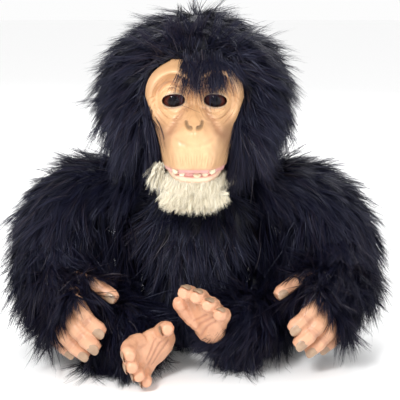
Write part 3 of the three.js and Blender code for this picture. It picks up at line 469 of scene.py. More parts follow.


# The black fur's tones run from dark navy through brownish patches; the last, pale grey stop is painted
# highlight, for the few strands that stand in for glints.
BLACK_STOPS = [
    (0.0, (0.003, 0.0034, 0.0105)),
    (0.5, (0.0062, 0.0068, 0.021)),
    (0.76, (0.019, 0.0125, 0.02)),
    (0.9, (0.036, 0.025, 0.028)),
    (1.0, (0.1, 0.09, 0.1)),
]
WHITE_STOPS = [
    (0.0, (0.7, 0.62, 0.45)),
    (0.4, (0.88, 0.81, 0.64)),
    (0.8, (0.93, 0.9, 0.78)),
    (1.0, (0.95, 0.94, 0.9)),
]
# The last number of each fur sets the painted shade at its strands' roots.
FUR = strand_material("black_fur", BLACK_STOPS, (0.4, 0.55), 0.45)
CHIN_FUR = strand_material("white_fur", WHITE_STOPS, (0.5, 0.65), 0.85)
UNDERCOAT = undercoat_material("black_pile", (0.0015, 0.0016, 0.004), (0.011, 0.011, 0.02))
CHIN_PILE = undercoat_material("white_pile", (0.5, 0.45, 0.34), (0.82, 0.76, 0.62))
VINYL = skin_material("painted_vinyl", (0.4, 0.56), 0.3)
WET_VINYL = skin_material("gum_vinyl", (0.14, 0.26), 0.6)
NAIL = moulded("nail", (0.3, 0.185, 0.115), (0.42, 0.28, 0.18), 160, 0.1 * MM, (0.3, 0.44), coat=0.3)
TOOTH = moulded("tooth", (0.72, 0.6, 0.38), (0.86, 0.78, 0.58), 220, 0.1 * MM, (0.16, 0.3), coat=0.6)
EYE_GLOSS = eye_material()
CAD_FINISHES = {
    "vinyl_skin": moulded("lid_vinyl", (0.5, 0.27, 0.13), (0.62, 0.36, 0.19), 120, 0.1 * MM, (0.35, 0.5)),
    "gum_vinyl": moulded("mouth_vinyl", (0.5, 0.17, 0.16), (0.62, 0.25, 0.23), 150, 0.1 * MM, (0.15, 0.3)),
    "black_moulding": moulded(
        "black_abs", (0.012, 0.012, 0.014), (0.022, 0.022, 0.025), 60, 0.05 * MM, (0.4, 0.6)
    ),
    "white_moulding": moulded("white_abs", (0.6, 0.58, 0.52), (0.72, 0.7, 0.65), 60, 0.05 * MM, (0.4, 0.6)),
    "steel": moulded("zinc_steel", (0.42, 0.42, 0.43), (0.56, 0.56, 0.57), 200, 0.03 * MM, (0.25, 0.45), 1.0),
    "brass": moulded("turned_brass", (0.5, 0.33, 0.1), (0.64, 0.45, 0.17), 200, 0.03 * MM, (0.2, 0.4), 1.0),
    "circuit_laminate": moulded(
        "laminate", (0.02, 0.1, 0.04), (0.04, 0.17, 0.06), 400, 0.08 * MM, (0.3, 0.5)
    ),
    "cell_jacket": moulded("cell_jacket", (0.03, 0.05, 0.1), (0.06, 0.09, 0.16), 300, 0.02 * MM, (0.2, 0.35)),
    "chin_plush": CHIN_PILE,
    "black_plush": UNDERCOAT,
    "eye_plastic": EYE_GLOSS,
}

for entry in frame["record"]["subparts"]:
    shown = NODES[entry["node"]]
    shown.data.materials.clear()
    shown.data.materials.append(CAD_FINISHES[entry["material_slot"]])

# ---- Face, eyes and mouth ----


def face_half_width(z):
    heights = np.array([level for level, _ in FACE_OUTLINE], float)
    widths = np.array([width for _, width in FACE_OUTLINE], float)
    spread = np.array([-3.0, -1.5, 0.0, 1.5, 3.0])
    return np.mean([np.interp(z + shift, heights, widths) for shift in spread], axis=0)


def eye_offsets(x, z):
    """Distances outwards and upwards from the centre of the nearer eye."""
    return np.abs(x) - EYE["x"], z - EYE["z"]


def eye_wrinkles(outwards, upwards):
    """The many fine wrinkles that ring an eye above and below, and stop at the nose."""
    from_eye = np.hypot(outwards, upwards / 1.1)
    turn = np.arctan2(upwards, outwards)
    wander = 0.7 * np.sin(3 * turn) + 0.5 * np.sin(7 * turn + 1)
    ring = np.sin(2.7 * from_eye + wander) + 0.5 * np.sin(4.3 * from_eye - 1.4 * wander)
    band = bump((from_eye - 15) / 5.5, 4) * smoothstep(2.0, 7.0, np.abs(upwards))
    return 0.3 * ring * band


def creases(x, z):
    """How deep the creases of the face are at each point."""
    outwards, upwards = eye_offsets(x, z)
    by_eye = np.stack([outwards, upwards], axis=-1).reshape(-1, 2)
    by_middle = np.stack([np.abs(x), z], axis=-1).reshape(-1, 2)
    depth = np.zeros(by_eye.shape[0])
    for points, table in ((by_eye, EYE_CREASES), (by_middle, FACE_CREASES)):
        for line, width, deep in table:
            smooth_line = rounded_line(line)
            distance, place = line_distance(points, smooth_line)
            length = np.sum(np.linalg.norm(np.diff(smooth_line, axis=0), axis=1))
            ends = np.sin(np.pi * np.clip(place / length, 0.04, 0.96)) ** 0.5
            depth += deep * ends * (bump(distance / width) - 0.35 * bump((distance - 2.2 * width) / width))
    return depth.reshape(x.shape) + eye_wrinkles(outwards, upwards)


def rounded_line(line):
    """A polyline with its corners rounded by cutting them three times."""
    points = np.array(line, float)
    for _ in range(3):
        if len(points) < 3:
            break
        start, end = points[:-1], points[1:]
        cut = np.stack([0.75 * start + 0.25 * end, 0.25 * start + 0.75 * end], axis=1)
        points = np.concatenate([points[:1], cut.reshape(-1, points.shape[1]), points[-1:]])
    return points


def lip_edge(x):
    """The height of the upper lip's edge: level in the middle, lower at the corners."""
    return FACE["bottom"] - FACE["lip_fall"] * np.abs(x / FACE["lip_half"]) ** 3.2


def eye_hole(x, z):
    """1 in the middle of an eye opening, 0 on its edge, negative outside it."""
    outwards, upwards = eye_offsets(x, z)
    upwards = upwards + 0.05 * outwards
    wide = np.abs(outwards) / EYE_OPENING["half_width"]
    arch = np.sqrt(np.clip(1 - wide**2.3, 1e-4, 1))
    height = np.where(upwards > 0, EYE_OPENING["above"], EYE_OPENING["below"]) * arch
    return 1 - np.maximum(wide, np.abs(upwards) / height)


def face_front(x, z):
    """The y of the face's front surface, in millimetres, like the CAD skin with finer relief.

    Each form of the relief is one line: its height, then its place and reach.
    """
    across = np.clip(np.abs(x) / face_half_width(z), 0, 1)
    over_top = np.clip((z - 262) / 20, 0, 1)
    rounding = np.sqrt(np.clip(1 - across**3.2, 0, 1)) * np.sqrt(np.clip(1 - over_top**3, 0, 1))
    outwards, upwards = eye_offsets(x, z)
    from_eye = np.hypot(outwards, upwards / 1.2)
    brow = 9.2 * bump((from_eye - 22) / 4.4) * smoothstep(-6, 12, upwards)
    socket = 4.2 * bump((from_eye - 15.5) / 4)
    lid_roll = 1.6 * bump((from_eye - 11.5) / 2.4) * smoothstep(-6, 4, upwards)
    muzzle_height = np.where(z > 207, (z - 207) / 25, (207 - z) / 38)
    muzzle = 37 * bump(x / 29, 5) * bump(muzzle_height, 3)
    nose = 9.5 * bump(np.hypot(x / 13.0, (z - 229) / 10.5), 3)
    wings = 2.0 * bump(np.hypot((np.abs(x) - 7.6) / 3.4, (z - 228.5) / 3.8))
    tip = 1.6 * bump(np.hypot(x / 3.4, (z - 226) / 3.8))
    septum = 0.8 * bump(x / 1.1) * bump((z - 225) / 5)
    temple = 1.6 * bump(np.hypot((np.abs(x) - 40) / 5, (z - 255) / 9))
    relief = brow - socket + lid_roll + muzzle + nose + wings + tip - septum - temple
    skin = FACE["rim"] - (14 + relief) * rounding
    eyeball = np.hypot(outwards, upwards)
    bulge = 14.6
    round_lid = EYE["y"] - np.sqrt(np.clip(bulge**2 - eyeball**2, 0, None))
    return np.where(eyeball < bulge, np.minimum(skin, round_lid), skin)


def nostril_depth(x, z):
    """The comma-shaped nostrils, each curling up and outwards."""
    line = rounded_line([(2.9, 227.2), (4.7, 227.2), (6.4, 228.6), (6.9, 230.6)])
    points = np.stack([np.abs(x), z], axis=-1).reshape(-1, 2)
    distance, _ = line_distance(points, line)
    return NOSTRIL_DEPTH * bump(distance.reshape(x.shape) / 1.5, 3)


def face_depth(x, z):
    """The y of the finished skin: its front with creases, nostrils, fine flow lines and sunken eyes."""
    hole = eye_hole(x, z)
    rim_lip = 0.7 * bump((hole + 0.1) / 0.09)
    y = face_front(x, z) + creases(x, z) + nostril_depth(x, z) - rim_lip
    y = y + smoothstep(-0.02, 0.1, hole) * (EYE["y"] + 3 - y)
    flow = 0.25 * np.sin(x * 1.1 + 2.2 * np.sin(z * 0.21)) * bump((z - 204) / 12, 4) * bump(x / 24, 4)
    return y + flow * (hole < -0.3)


def with_rolled_lip(front):
    """The grid with its lowest row rolled under at the lip and carried up inside the mouth."""
    roll = np.linspace(0.15, 1, 7)[:, None]
    edge = front[0]
    turn_in = roll * math.pi
    under = np.stack(
        [
            edge[None, :, 0] * (1 - 0.02 * roll),
            edge[None, :, 1] + LIP_ROLL * (1 - np.cos(turn_in)),
            edge[None, :, 2] - LIP_ROLL * np.sin(turn_in) * 0.8,
        ],
        axis=-1,
    )
    inside = under[-1][None] + np.array([0, 0.6, 1.0]) * np.linspace(1, 9, 5)[:, None, None]
    return np.concatenate([inside[::-1], under[::-1], front])


def with_turned_rim(grid):
    """The grid with its sides and top turned back, where the fur hood covers the skin's rim."""
    left, right = grid[:, :1], grid[:, -1:]
    back = np.array([FACE["back"] - FACE["rim"]])
    steps = np.linspace(0.2, 1, 4)
    sides = []
    for edge_column, order in ((left, steps[::-1]), (right, steps)):
        turned = np.repeat(edge_column, len(steps), axis=1)
        turned[..., 1] += order[None, :] * back
        turned[..., 0] *= 1 - 0.04 * order[None, :] ** 2
        sides.append(turned)
    grid = np.concatenate([sides[0], grid, sides[1]], axis=1)
    top = np.repeat(grid[-1:], 4, axis=0)
    top[..., 1] += np.linspace(4, 16, 4)[:, None]
    return np.concatenate([grid, top])


def build_face():
    """The face skin: a fine relief with sunken eye openings, a rolled lip and a rim turned back."""
    columns, rows = FACE_GRID
    turn = np.linspace(-1, 1, columns) * math.pi / 2
    sine = np.sin(turn)[None, :] * 0.55 + (turn / (math.pi / 2))[None, :] * 0.45
    rise = np.linspace(0, 1, rows)[:, None]
    x = face_half_width(FACE["bottom"] + (FACE["top"] - FACE["bottom"]) * rise) * sine
    bottom_edge = lip_edge(x)
    z = bottom_edge + (FACE["top"] - bottom_edge) * rise
    front = np.stack([x, face_depth(x, z), z], axis=-1)
    grid = with_turned_rim(with_rolled_lip(front))
    made = grid_object("face_vinyl", grid * MM, VINYL)
    tint(made, face_colours(grid[..., 0], grid[..., 2]))
    return made


def face_colours(x, z):
    """The face's paint: tan, grey round the eyes, pink at the lip, and painted shade: darker in the creases,
    beside the nose, at the muzzle's sides, in the nostrils and inside the eye openings.
    """
    tan = np.array([0.68, 0.4, 0.2])
    colours = np.broadcast_to(tan, (*x.shape, 3)).copy()

    def paint(amount, colour):
        colours[:] = blend(colours, colour, np.clip(amount, 0, 1)[..., None])

    outwards, upwards = eye_offsets(x, z)
    hole = eye_hole(x, z)
    by_muzzle = np.stack([np.abs(x), z], axis=-1).reshape(-1, 2)
    wing_line = rounded_line([(12, 236), (16, 230), (20, 224), (27, 217)])
    wing, _ = line_distance(by_muzzle, wing_line)
    paint(0.5 * bump(np.hypot(x / 22, (z - 203) / 12)), (0.86, 0.55, 0.3))
    # Painted shade: darker along the fold beside the nose.
    paint(0.5 * bump(wing.reshape(x.shape) / 5), (0.42, 0.22, 0.14))
    # Painted shade: darker at the sides of the muzzle.
    paint(0.55 * bump((np.abs(x) - 31) / 6.5) * bump((z - 217) / 17, 4), (0.36, 0.19, 0.11))
    paint(0.35 * bump(np.hypot(outwards, upwards) / 17, 4), (0.84, 0.52, 0.27))
    # Painted shade: darker the deeper a crease is.
    paint(np.clip(creases(x, z), 0, 1) * 0.45, (0.34, 0.15, 0.07))
    paint(0.75 * bump((hole + 0.12) / 0.13), (0.44, 0.38, 0.31))
    # Painted shade: near black at the edge of each eye opening and inside it, round the eyeball.
    paint(smoothstep(-0.05, 0.06, hole), (0.035, 0.02, 0.018))
    # Painted shade: darker the deeper a nostril is.
    paint(nostril_depth(x, z) / NOSTRIL_DEPTH * 0.85, (0.2, 0.13, 0.07))
    paint(0.3 * bump(np.hypot((np.abs(x) - 34) / 9, (z - 262) / 9)), (0.78, 0.5, 0.33))
    paint(0.55 * bump((z - lip_edge(x) + 1.0) / 1.6), (0.8, 0.42, 0.3))
    return colours


def mouth_line(z, level, inset, share, lift):
    """Points along the mouth at height z, `inset` behind the face at `level`, rising at the ends."""
    x = FACE["lip_half"] * share
    y = face_front(x, np.full_like(x, level)) + inset + 5.5 * np.abs(share) ** 6
    height = z + lift * np.abs(share) ** 2.4
    return np.stack([x, y, height], axis=-1)


def swept(line, profile, scale):
    """A grid that carries a profile of (outwards, upwards) points along a line, scaled at each point."""
    along = unit(np.gradient(line, axis=0))
    outwards = unit(np.stack([along[:, 1], -along[:, 0], np.zeros(len(line))], axis=-1))
    facing = np.where(outwards[:, 1:2] > 0, -1.0, 1.0)
    outwards = outwards * facing
    up = np.array([0.0, 0.0, 1.0])
    shape = np.array(profile, float)
    return (
        line[:, None]
        + outwards[:, None] * shape[None, :, :1] * scale[:, None, None]
        + up * shape[None, :, 1:] * scale[:, None, None]
    )


def plain_tint(made, colour, spread):
    """One colour all over, with a slight change from vertex to vertex."""
    count = len(made.data.vertices)
    tint(made, np.array(colour) * (1 + spread * rng.standard_normal((count, 1))))


def build_lower_lip():
    """The lower lip: a thin rolled band from corner to corner, and the skin behind the beard."""
    share = np.sin(np.linspace(-1, 1, 91) * math.pi / 2)
    line = mouth_line(MOUTH["lower_lip"], MOUTH["lower_lip"], 1.8, share, MOUTH["lift"])
    profile = [(-3.4, -2), (-3, 0.6), (-1.6, 1.9), (0, 2.1), (1.2, 1.2), (1.5, -0.4)]  # the rolled lip
    profile += [(1.1, -2.0), (0.2, -3.0), (-0.4, -5), (-2.4, -8), (-5.5, -9), (-7.5, -9), (-6, -5)]
    curve = rounded_line(profile + profile[:1])[:-1]
    scale = 0.55 + 0.45 * np.sqrt(np.clip(1 - np.abs(share) ** 4, 0, 1))
    grid = swept(line, curve, scale)
    folds = 0.14 * np.sin(line[:, 0] * 2.1 + 1.3 * np.sin(line[:, 0] * 0.7))
    grid[..., 1] += folds[:, None]
    grid[..., 2] = np.maximum(grid[..., 2], 168.0)
    made = grid_object("lower_lip_vinyl", grid * MM, VINYL, closed=True)
    crest = np.clip((grid[..., 2] - line[:, None, 2] + 0.6) / 2.6, 0, 1)[..., None]
    tint(made, blend((0.86, 0.6, 0.42), (0.86, 0.47, 0.38), crest))
    return made


def build_gum(name, z, level, inset, lift, size):
    """A rounded gum ridge along the mouth, with a slight scallop between the teeth."""
    share = np.sin(np.linspace(-1, 1, 91) * math.pi / 2) * 0.84
    line = mouth_line(z, level, inset, share, lift)
    angles = np.linspace(0, 2 * math.pi, 19)[:-1]
    profile = np.stack([size[0] * np.cos(angles), size[1] * np.sin(angles)], axis=-1)
    scallop = 1 + 0.05 * np.sin(line[:, 0] * 0.9)
    made = grid_object(name, swept(line, profile, scallop) * MM, WET_VINYL, closed=True)
    plain_tint(made, (0.88, 0.47, 0.43), 0.02)
    return made


def build_teeth(name, places, level, inset, lift):
    """Blunt milk teeth along the mouth. Each place is x, width, root height and tip height."""
    points, faces = [], []
    around, over = 16, 10
    angles = np.linspace(0, 2 * math.pi, around, endpoint=False)
    for number, (x, width, root, tip) in enumerate(places):
        share = np.array([x - 1, x, x + 1]) / FACE["lip_half"]
        line = mouth_line(root, level, inset, share, lift)
        centre = line[1]
        lean = math.atan2(line[2, 1] - line[0, 1], line[2, 0] - line[0, 0])
        rings = []
        for rise in np.linspace(0, 1, over):
            fullness = (0.82 + 0.3 * math.sin(rise * 2.2)) * math.sqrt(max(1 - rise**6, 0.0004))
            across = 0.5 * width * fullness * rounded_wave(np.cos(angles), 0.8)
            deep = 0.38 * width * fullness * np.sin(angles) * (1 - 0.35 * rise)
            turned_x = across * math.cos(lean) - deep * math.sin(lean)
            turned_y = across * math.sin(lean) + deep * math.cos(lean)
            wave = 0.25 * np.sin(angles * 2 + x) * rise
            height = centre[2] + (tip - root) * rise + wave
            rings.append(np.stack([centre[0] + turned_x, centre[1] + turned_y, height], -1))
        grid = np.array(rings)
        faces.append(grid_faces(over, around, closed=True) + number * over * around)
        points.append(grid.reshape(-1, 3))
    return mesh_object(name, np.concatenate(points) * MM, np.concatenate(faces), TOOTH)


def build_tongue():
    """The tongue: a tapering pad with a groove down its middle and a fine grain."""
    made = remeshed("tongue_vinyl", "tongue", 0.5 * MM, 4, WET_VINYL)
    points, normals, _ = arrays_of(made.data)
    groove = 0.7 * bump(points[:, 0] / (2.0 * MM)) * (normals[:, 2] > 0)
    grain = noise_at(points, 900) * 0.12
    set_points(made.data, points - normals * ((groove - grain) * MM)[:, None])
    plain_tint(made, (0.74, 0.3, 0.28), 0.02)
    return made


def build_eye(side, sign):
    """An eyeball with a slight cornea, turned a little down and out."""
    bpy.ops.mesh.primitive_uv_sphere_add(segments=64, ring_count=40, radius=EYE["radius"] * MM)
    made = bpy.context.object
    made.name = f"eyeball_gloss_{side}"
    points, _, _ = arrays_of(made.data)
    off_axis = np.hypot(points[:, 0], points[:, 2]) / (EYE["radius"] * MM)
    cornea = 0.5 * MM * bump(off_axis / 0.62, 4) * (points[:, 1] < 0)
    set_points(made.data, points + np.array([0, -1.0, 0]) * cornea[:, None])
    made.data.polygons.foreach_set("use_smooth", np.ones(len(made.data.polygons), bool))
    made.data.materials.append(EYE_GLOSS)
    made.location = Vector((sign * EYE["x"], EYE["y"], EYE["z"])) * MM
    made.rotation_euler = (math.radians(3), 0, math.radians(-1.5 * sign))
    return made


def build_lid(side, sign):
    """The moving lid: a thin shell over the eyeball with a rolled front edge and fine cross wrinkles."""
    low, high = math.radians(30), math.radians(120)
    lift = np.linspace(low, high, 30)
    spread = np.linspace(-1, 1, 48) * math.radians(78)
    rise, turn = np.meshgrid(lift, spread, indexing="ij")
    wrinkle = 0.12 * np.sin((rise - low) * 34) * bump((rise - low - 0.5) / 0.5)
    outer = lid_points(rise, turn, LID_RADIUS["outer"] + wrinkle + 0.25 * bump((rise - low) / 0.05))
    inner = lid_points(rise, turn, np.full_like(rise, LID_RADIUS["inner"]))
    closed = np.concatenate([outer, inner[::-1], outer[:1]])
    centre = np.array([sign * EYE["x"], EYE["y"], EYE["z"]])
    made = grid_object(f"eyelid_vinyl_{side}", (closed + centre) * MM, VINYL, flip=True)
    dark = bump((np.concatenate([rise, rise[::-1], rise[:1]]) - low) / 0.09)[..., None]
    tint(made, blend((0.6, 0.34, 0.17), (0.14, 0.09, 0.06), dark))
    return made


def lid_points(rise, turn, radius):
    """Points on a lid shell: `rise` is the angle up from straight ahead, `turn` the angle to the side."""
    return np.stack(
        [radius * np.sin(turn), -radius * np.cos(turn) * np.cos(rise), radius * np.cos(turn) * np.sin(rise)],
        axis=-1,
    )


face = build_face()
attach(face, "head")
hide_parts("face_skin")
for side, sign in SIDES:
    eye = build_eye(side, sign)
    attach(eye, "head")
    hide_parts(f"eyeball_{side}")
    lid = build_lid(side, sign)
    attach(lid, "eyelids")
    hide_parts(f"eyelid_{side}")

UPPER_TEETH = [(-17, 6.4, 191.5, 185.8), (15.8, 6.6, 191.5, 185.8)]
LOWER_TEETH = [(-11, 5.4, 182, 187.2), (2.2, 6.6, 182, 185.9), (9.4, 5.4, 182, 187.2)]
UPPER, LOWER = FACE["bottom"], MOUTH["lower_lip"]
upper_gum = build_gum("upper_gum", 190.2, UPPER, 10.4, -FACE["lip_fall"], (3.4, 4.2))
lower_gum = build_gum("lower_gum", 183.2, LOWER, 6.6, MOUTH["lift"], (3.2, 4.8))
upper_teeth = build_teeth("upper_teeth", UPPER_TEETH, UPPER, 5.6, -FACE["lip_fall"])
lower_teeth = build_teeth("lower_teeth", LOWER_TEETH, LOWER, 3.4, MOUTH["lift"])
tongue = build_tongue()
lower_lip = build_lower_lip()
for piece, body, node in (
    (upper_gum, "head", "upper_gum_and_teeth"),
    (upper_teeth, "head", None),
    (lower_gum, "jaw", "lower_gum_and_teeth"),
    (lower_teeth, "jaw", None),
    (tongue, "jaw", "tongue"),
    (lower_lip, "jaw", "lower_lip"),
):
    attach(piece, body)
    if node:
        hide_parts(node)

# ---- Hands and feet ----


def extremity_axes(entry, handed):
    """The axes of a hand or foot: towards the tips, towards the thumb, and out of the palm."""
    along = unit(np.array(entry["t"], float))
    across = np.array(entry["b"], float)
    across = unit(across - (across @ along) * along)
    return np.stack([along, across, np.cross(along, across) * handed])


def placed_digit(entry, axes, stations):
    """A digit's middle line in the row frame, in millimetres, and its radii."""
    local = np.array(stations, float)
    return np.array(entry["centre"], float) + local[:, :3] @ axes, local[:, 3]


def nail_grid(line, radii, axes):
    """A nail: a curved plate let into the back of the finger tip, with a raised free edge."""
    heading = unit(line[-1] - line[-2])
    across = unit(axes[1] - (axes[1] @ heading) * heading)
    back = np.cross(heading, across)
    if back @ (axes[0] - 0.6 * axes[2]) < 0:
        back = -back
    radius = radii[-1]
    around = np.linspace(0, 2 * math.pi, 40, endpoint=False)
    rings = []
    for reach in (0.001, 0.35, 0.7, 0.9, 1.0, 1.06):
        length = 0.74 * radius * reach * rounded_wave(np.cos(around), 0.85)
        angle = (0.72 * reach * rounded_wave(np.sin(around), 0.8))[:, None]
        height = radius * (1.035 - 0.05 * smoothstep(0.85, 1.06, reach)) - 0.012 * length**2
        centre = line[-1] + heading * (0.18 * radius + length)[:, None]
        rings.append(centre + (back * np.cos(angle) + across * np.sin(angle)) * height[:, None])
    return np.array(rings)


def digit_relief(points, palm_side, lines):
    """Along all digits: how deep the knuckle folds are, how near a tip is, and the nearest middle line."""
    sink = np.zeros(len(points))
    nearest = np.full(len(points), np.inf)
    tip_share = np.zeros(len(points))
    for line, radii in lines:
        distance, place = line_distance(points / MM, line)
        steps = np.concatenate([[0], np.cumsum(np.linalg.norm(np.diff(line, axis=0), axis=1))])
        mine = distance < np.minimum(nearest, radii[0] * 1.25)
        folds = np.zeros(len(points))
        for joint in (1, 2):
            for fold in (-1, 0, 1):
                away = place - steps[joint] - fold * FOLD_GAP
                folds += (0.28 if fold else 0.42) * bump(away / 0.75)
        pad_swell = 0.5 * bump((place - steps[-1]) / 5) * palm_side
        sink = np.where(mine, folds - pad_swell, sink)
        tip_share = np.where(mine, bump((place - steps[-1]) / 9), tip_share)
        nearest = np.minimum(nearest, distance)
    return sink, tip_share, nearest


def palm_lines(local):
    """How deep each of the three long creases of a palm or sole is at each point."""
    flat = local * np.array([1, 1, 0])
    for bend in (0.0, 6.5, -7.0):
        line = np.array([(-14, 10 + bend, 0), (0, 4 + bend, 0), (12, -8 + bend, 0)], float)
        distance, _ = line_distance(flat, line)
        yield 0.7 * bump(distance / 1.1)


def build_extremity(kind, side, sign):
    """A vinyl hand or foot: a rounded skin with knuckle creases, palm lines and pads, and its nails."""
    node = f"{kind}_{side}"
    entry = (HANDS if kind == "hand" else FEET)[side]
    digits = HAND_DIGITS if kind == "hand" else TOE_DIGITS + [BIG_TOES[side]]
    axes = extremity_axes(entry, sign)
    lines = [placed_digit(entry, axes, stations) for stations in digits]
    made = remeshed(f"{node}_vinyl", node, 1.0 * MM, 7, VINYL)
    points, normals, _ = arrays_of(made.data)
    local = (points / MM - np.array(entry["centre"], float)) @ axes.T
    palm_side = smoothstep(-0.4, 0.5, normals @ axes[2])
    sink, tip_share, nearest = digit_relief(points, palm_side, lines)
    for crease in palm_lines(local):
        sink += crease * palm_side * (nearest > 7)
    rough = noise_at(points, 120)
    sink += 0.35 * rough * (nearest > 4)
    set_points(made.data, points - normals * (sink * MM)[:, None])
    # Painted shade: darker where the skin sinks, in the knuckle folds, the palm lines and small dips. Then
    # lighter and pinker towards the tips and on the palm side.
    colours = blend((0.64, 0.345, 0.2), (0.32, 0.12, 0.07), np.clip(sink * 0.9, 0, 0.9)[:, None])
    tint(made, blend(colours, (0.78, 0.4, 0.25), (0.35 * tip_share + 0.2 * palm_side)[:, None]))

    body = f"{'arm' if kind == 'hand' else 'leg'}_{side}"
    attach(made, body)
    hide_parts(node)
    for number, (line, radii) in enumerate(lines):
        grid = nail_grid(line, radii, axes)
        nail = grid_object(f"{node}_nail_{number + 1}", grid * MM, NAIL, closed=True)
        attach(nail, body)
    return made


EXTREMITIES = [build_extremity(kind, side, sign) for kind in ("hand", "foot") for side, sign in SIDES]

# ---- Stuffed bodies under the fur ----

# Each stuffed body: CAD node, body it rides on, how far its pile lies inside the fur's outer face, fill.
STUFFED = {
    "torso": ("torso_plush", "torso", 5.0, 0.75),
    "flap": ("back_flap", "flap", 4.0, 0.5),
    "hood": ("head_fur", "head", 6.0, 0.8),
    "arm_right": ("arm_plush_right", "arm_right", 7.0, 0.65),
    "arm_left": ("arm_plush_left", "arm_left", 7.0, 0.65),
    "leg_right": ("leg_plush_right", "leg_right", 5.0, 0.65),
    "leg_left": ("leg_plush_left", "leg_left", 5.0, 0.65),
    "chin": ("chin_fur", "jaw", 3.0, 0.5),
}


def tree_of(made):
    """A search tree over a mesh object that stands at the origin."""
    points, _, triangles = arrays_of(made.data)
    return BVHTree.FromPolygons(points.tolist(), triangles.tolist())


def faces_out(points, normals, tree, reach=45 * MM):
    """True where nothing of the same piece lies straight outside a point, so not inside a hollow."""
    clear = np.ones(len(points), bool)
    for index, (point, normal) in enumerate(zip(points, normals)):
        start = Vector(point) + Vector(normal) * (0.8 * MM)
        clear[index] = tree.ray_cast(start, Vector(normal), reach)[0] is None
    return clear


def hidden_inside(key, points):
    """True for the parts of a stuffed piece's surface that line a hollow or meet another piece."""
    x, y, z = (points / MM).T
    if key == "torso":
        case = (np.abs(x) < 40.5) & (y > -15.5) & (y < 57) & (z > 26) & (z < 131)
        neck = (np.hypot(x, y - 14) < 30) & (z > 126)
        return case | neck | (z < 1.5)
    if key == "flap":
        return y < 62
    if key == "hood":
        skull = ((x / 54) ** 2 + ((y + 2) / 54) ** 2 + ((z - 243) / 52) ** 2) < 1
        bore = (np.hypot(x, y - 14) < 36) & (z < 208)
        jaw_way = (np.abs(x) < 44.5) & (y < -11) & (z < 221)
        behind_face = (np.abs(x) < face_half_width(z) + 3.5) & (y > -48) & (y < -20) & (z < 284.5)
        return skull | bore | jaw_way | behind_face
    if key.startswith("arm"):
        return np.abs(x) < 74.5
    if key.startswith("leg"):
        return ((np.abs(x) < 57.5) & (y > -44)) | (z < 1.0)
    return z > 166.5


def build_stuffed(key):
    """The stuffed body under one area of fur: rounded, drawn in under the strands and slightly lumpy."""
    node, body, inset, fill = STUFFED[key]
    material = CHIN_PILE if key == "chin" else UNDERCOAT
    made = remeshed(f"{key}_pile", node, 2.2 * MM, 8, material)
    points, normals, _ = arrays_of(made.data)
    lumps = noise_at(points, 28)
    free = ~hidden_inside(key, points)
    depth = inset + 2.2 * lumps
    if key in LIMB_LINES:
        line = np.array(LIMB_LINES[key], float)
        _, place = line_distance(points / MM, line)
        length = np.sum(np.linalg.norm(np.diff(line, axis=0), axis=1))
        depth *= 1 - 0.85 * smoothstep(length - 45, length - 8, place)
    set_points(made.data, points - normals * (depth * MM * free)[:, None])
    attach(made, body)
    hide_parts(node)
    return made


PILES = {key: build_stuffed(key) for key in STUFFED}
SOLIDS = [tree_of(made) for made in [*PILES.values(), *EXTREMITIES, face, lower_lip]]

# ---- Fur ----

STEPS = 4  # segments in a strand
ALONG = np.linspace(0, 1, STEPS + 1)  # how far along a strand each of its points is
LOOSE_SHARE = 0.22  # of the strands leave their lock
LOOSENESS = 0.8


def sample_surface(made, count, key):
    """Random places on the open part of a stuffed body: points and their normals."""
    points, normals, triangles = arrays_of(made.data)
    a, b, c = (points[triangles[:, i]] for i in range(3))
    areas = np.linalg.norm(np.cross(b - a, c - a), axis=1)
    chosen = rng.choice(len(triangles), size=count, p=areas / areas.sum())
    first, second = rng.random((2, count, 1))
    over = first + second > 1
    first, second = np.where(over, 1 - first, first), np.where(over, 1 - second, second)
    corner = triangles[chosen]
    origin, along, beyond = (points[corner[:, i]] for i in range(3))
    place = origin * (1 - first - second) + along * first + beyond * second
    normal = unit(normals[corner].mean(axis=1))
    keep = ~hidden_inside(key, place + normal * (STUFFED[key][2] * MM))
    place, normal = place[keep], normal[keep]
    keep = faces_out(place, normal, tree_of(made))
    return place[keep], normal[keep]


def pushed_clear(points, margin):
    """Points moved out of every stuffed body, hand, foot and the face."""
    for index, point in enumerate(points):
        for tree in SOLIDS:
            found, normal, _, _ = tree.find_nearest(Vector(point), 12 * MM)
            if found is None:
                continue
            depth = (Vector(point) - found).dot(normal)
            if depth < margin:
                point = np.array(found + normal * margin)
        points[index] = point
    return points


def grow(roots, normals, comb, length, lift, droop, curl, margin=1.0 * MM):
    """Guide hairs, (hairs, STEPS + 1, 3). Each leaves the pile, follows the comb and droops."""
    along = unit(comb - np.sum(comb * normals, axis=1, keepdims=True) * normals)
    scatter = rng.standard_normal(roots.shape) * 0.22
    heading = unit(normals * lift + along * (1 - lift) + scatter)
    swirl = rng.standard_normal(roots.shape) * curl
    stride = (length * (0.75 + 0.5 * rng.random(len(roots))) / STEPS)[:, None]
    places = [roots]
    for step in range(STEPS):
        heading = unit(heading + droop * DOWN + along * 0.12 + swirl)
        place = pushed_clear(places[-1] + heading * stride, margin * (1 + step * 0.5))
        place = np.clip(place, FUR_LOW, FUR_HIGH)
        moved = unit(place - places[-1])
        heading = unit(heading * 0.4 + moved * 0.6)
        places.append(places[-1] + moved * stride)
    return np.clip(np.stack(places, axis=1), FUR_LOW, FUR_HIGH)


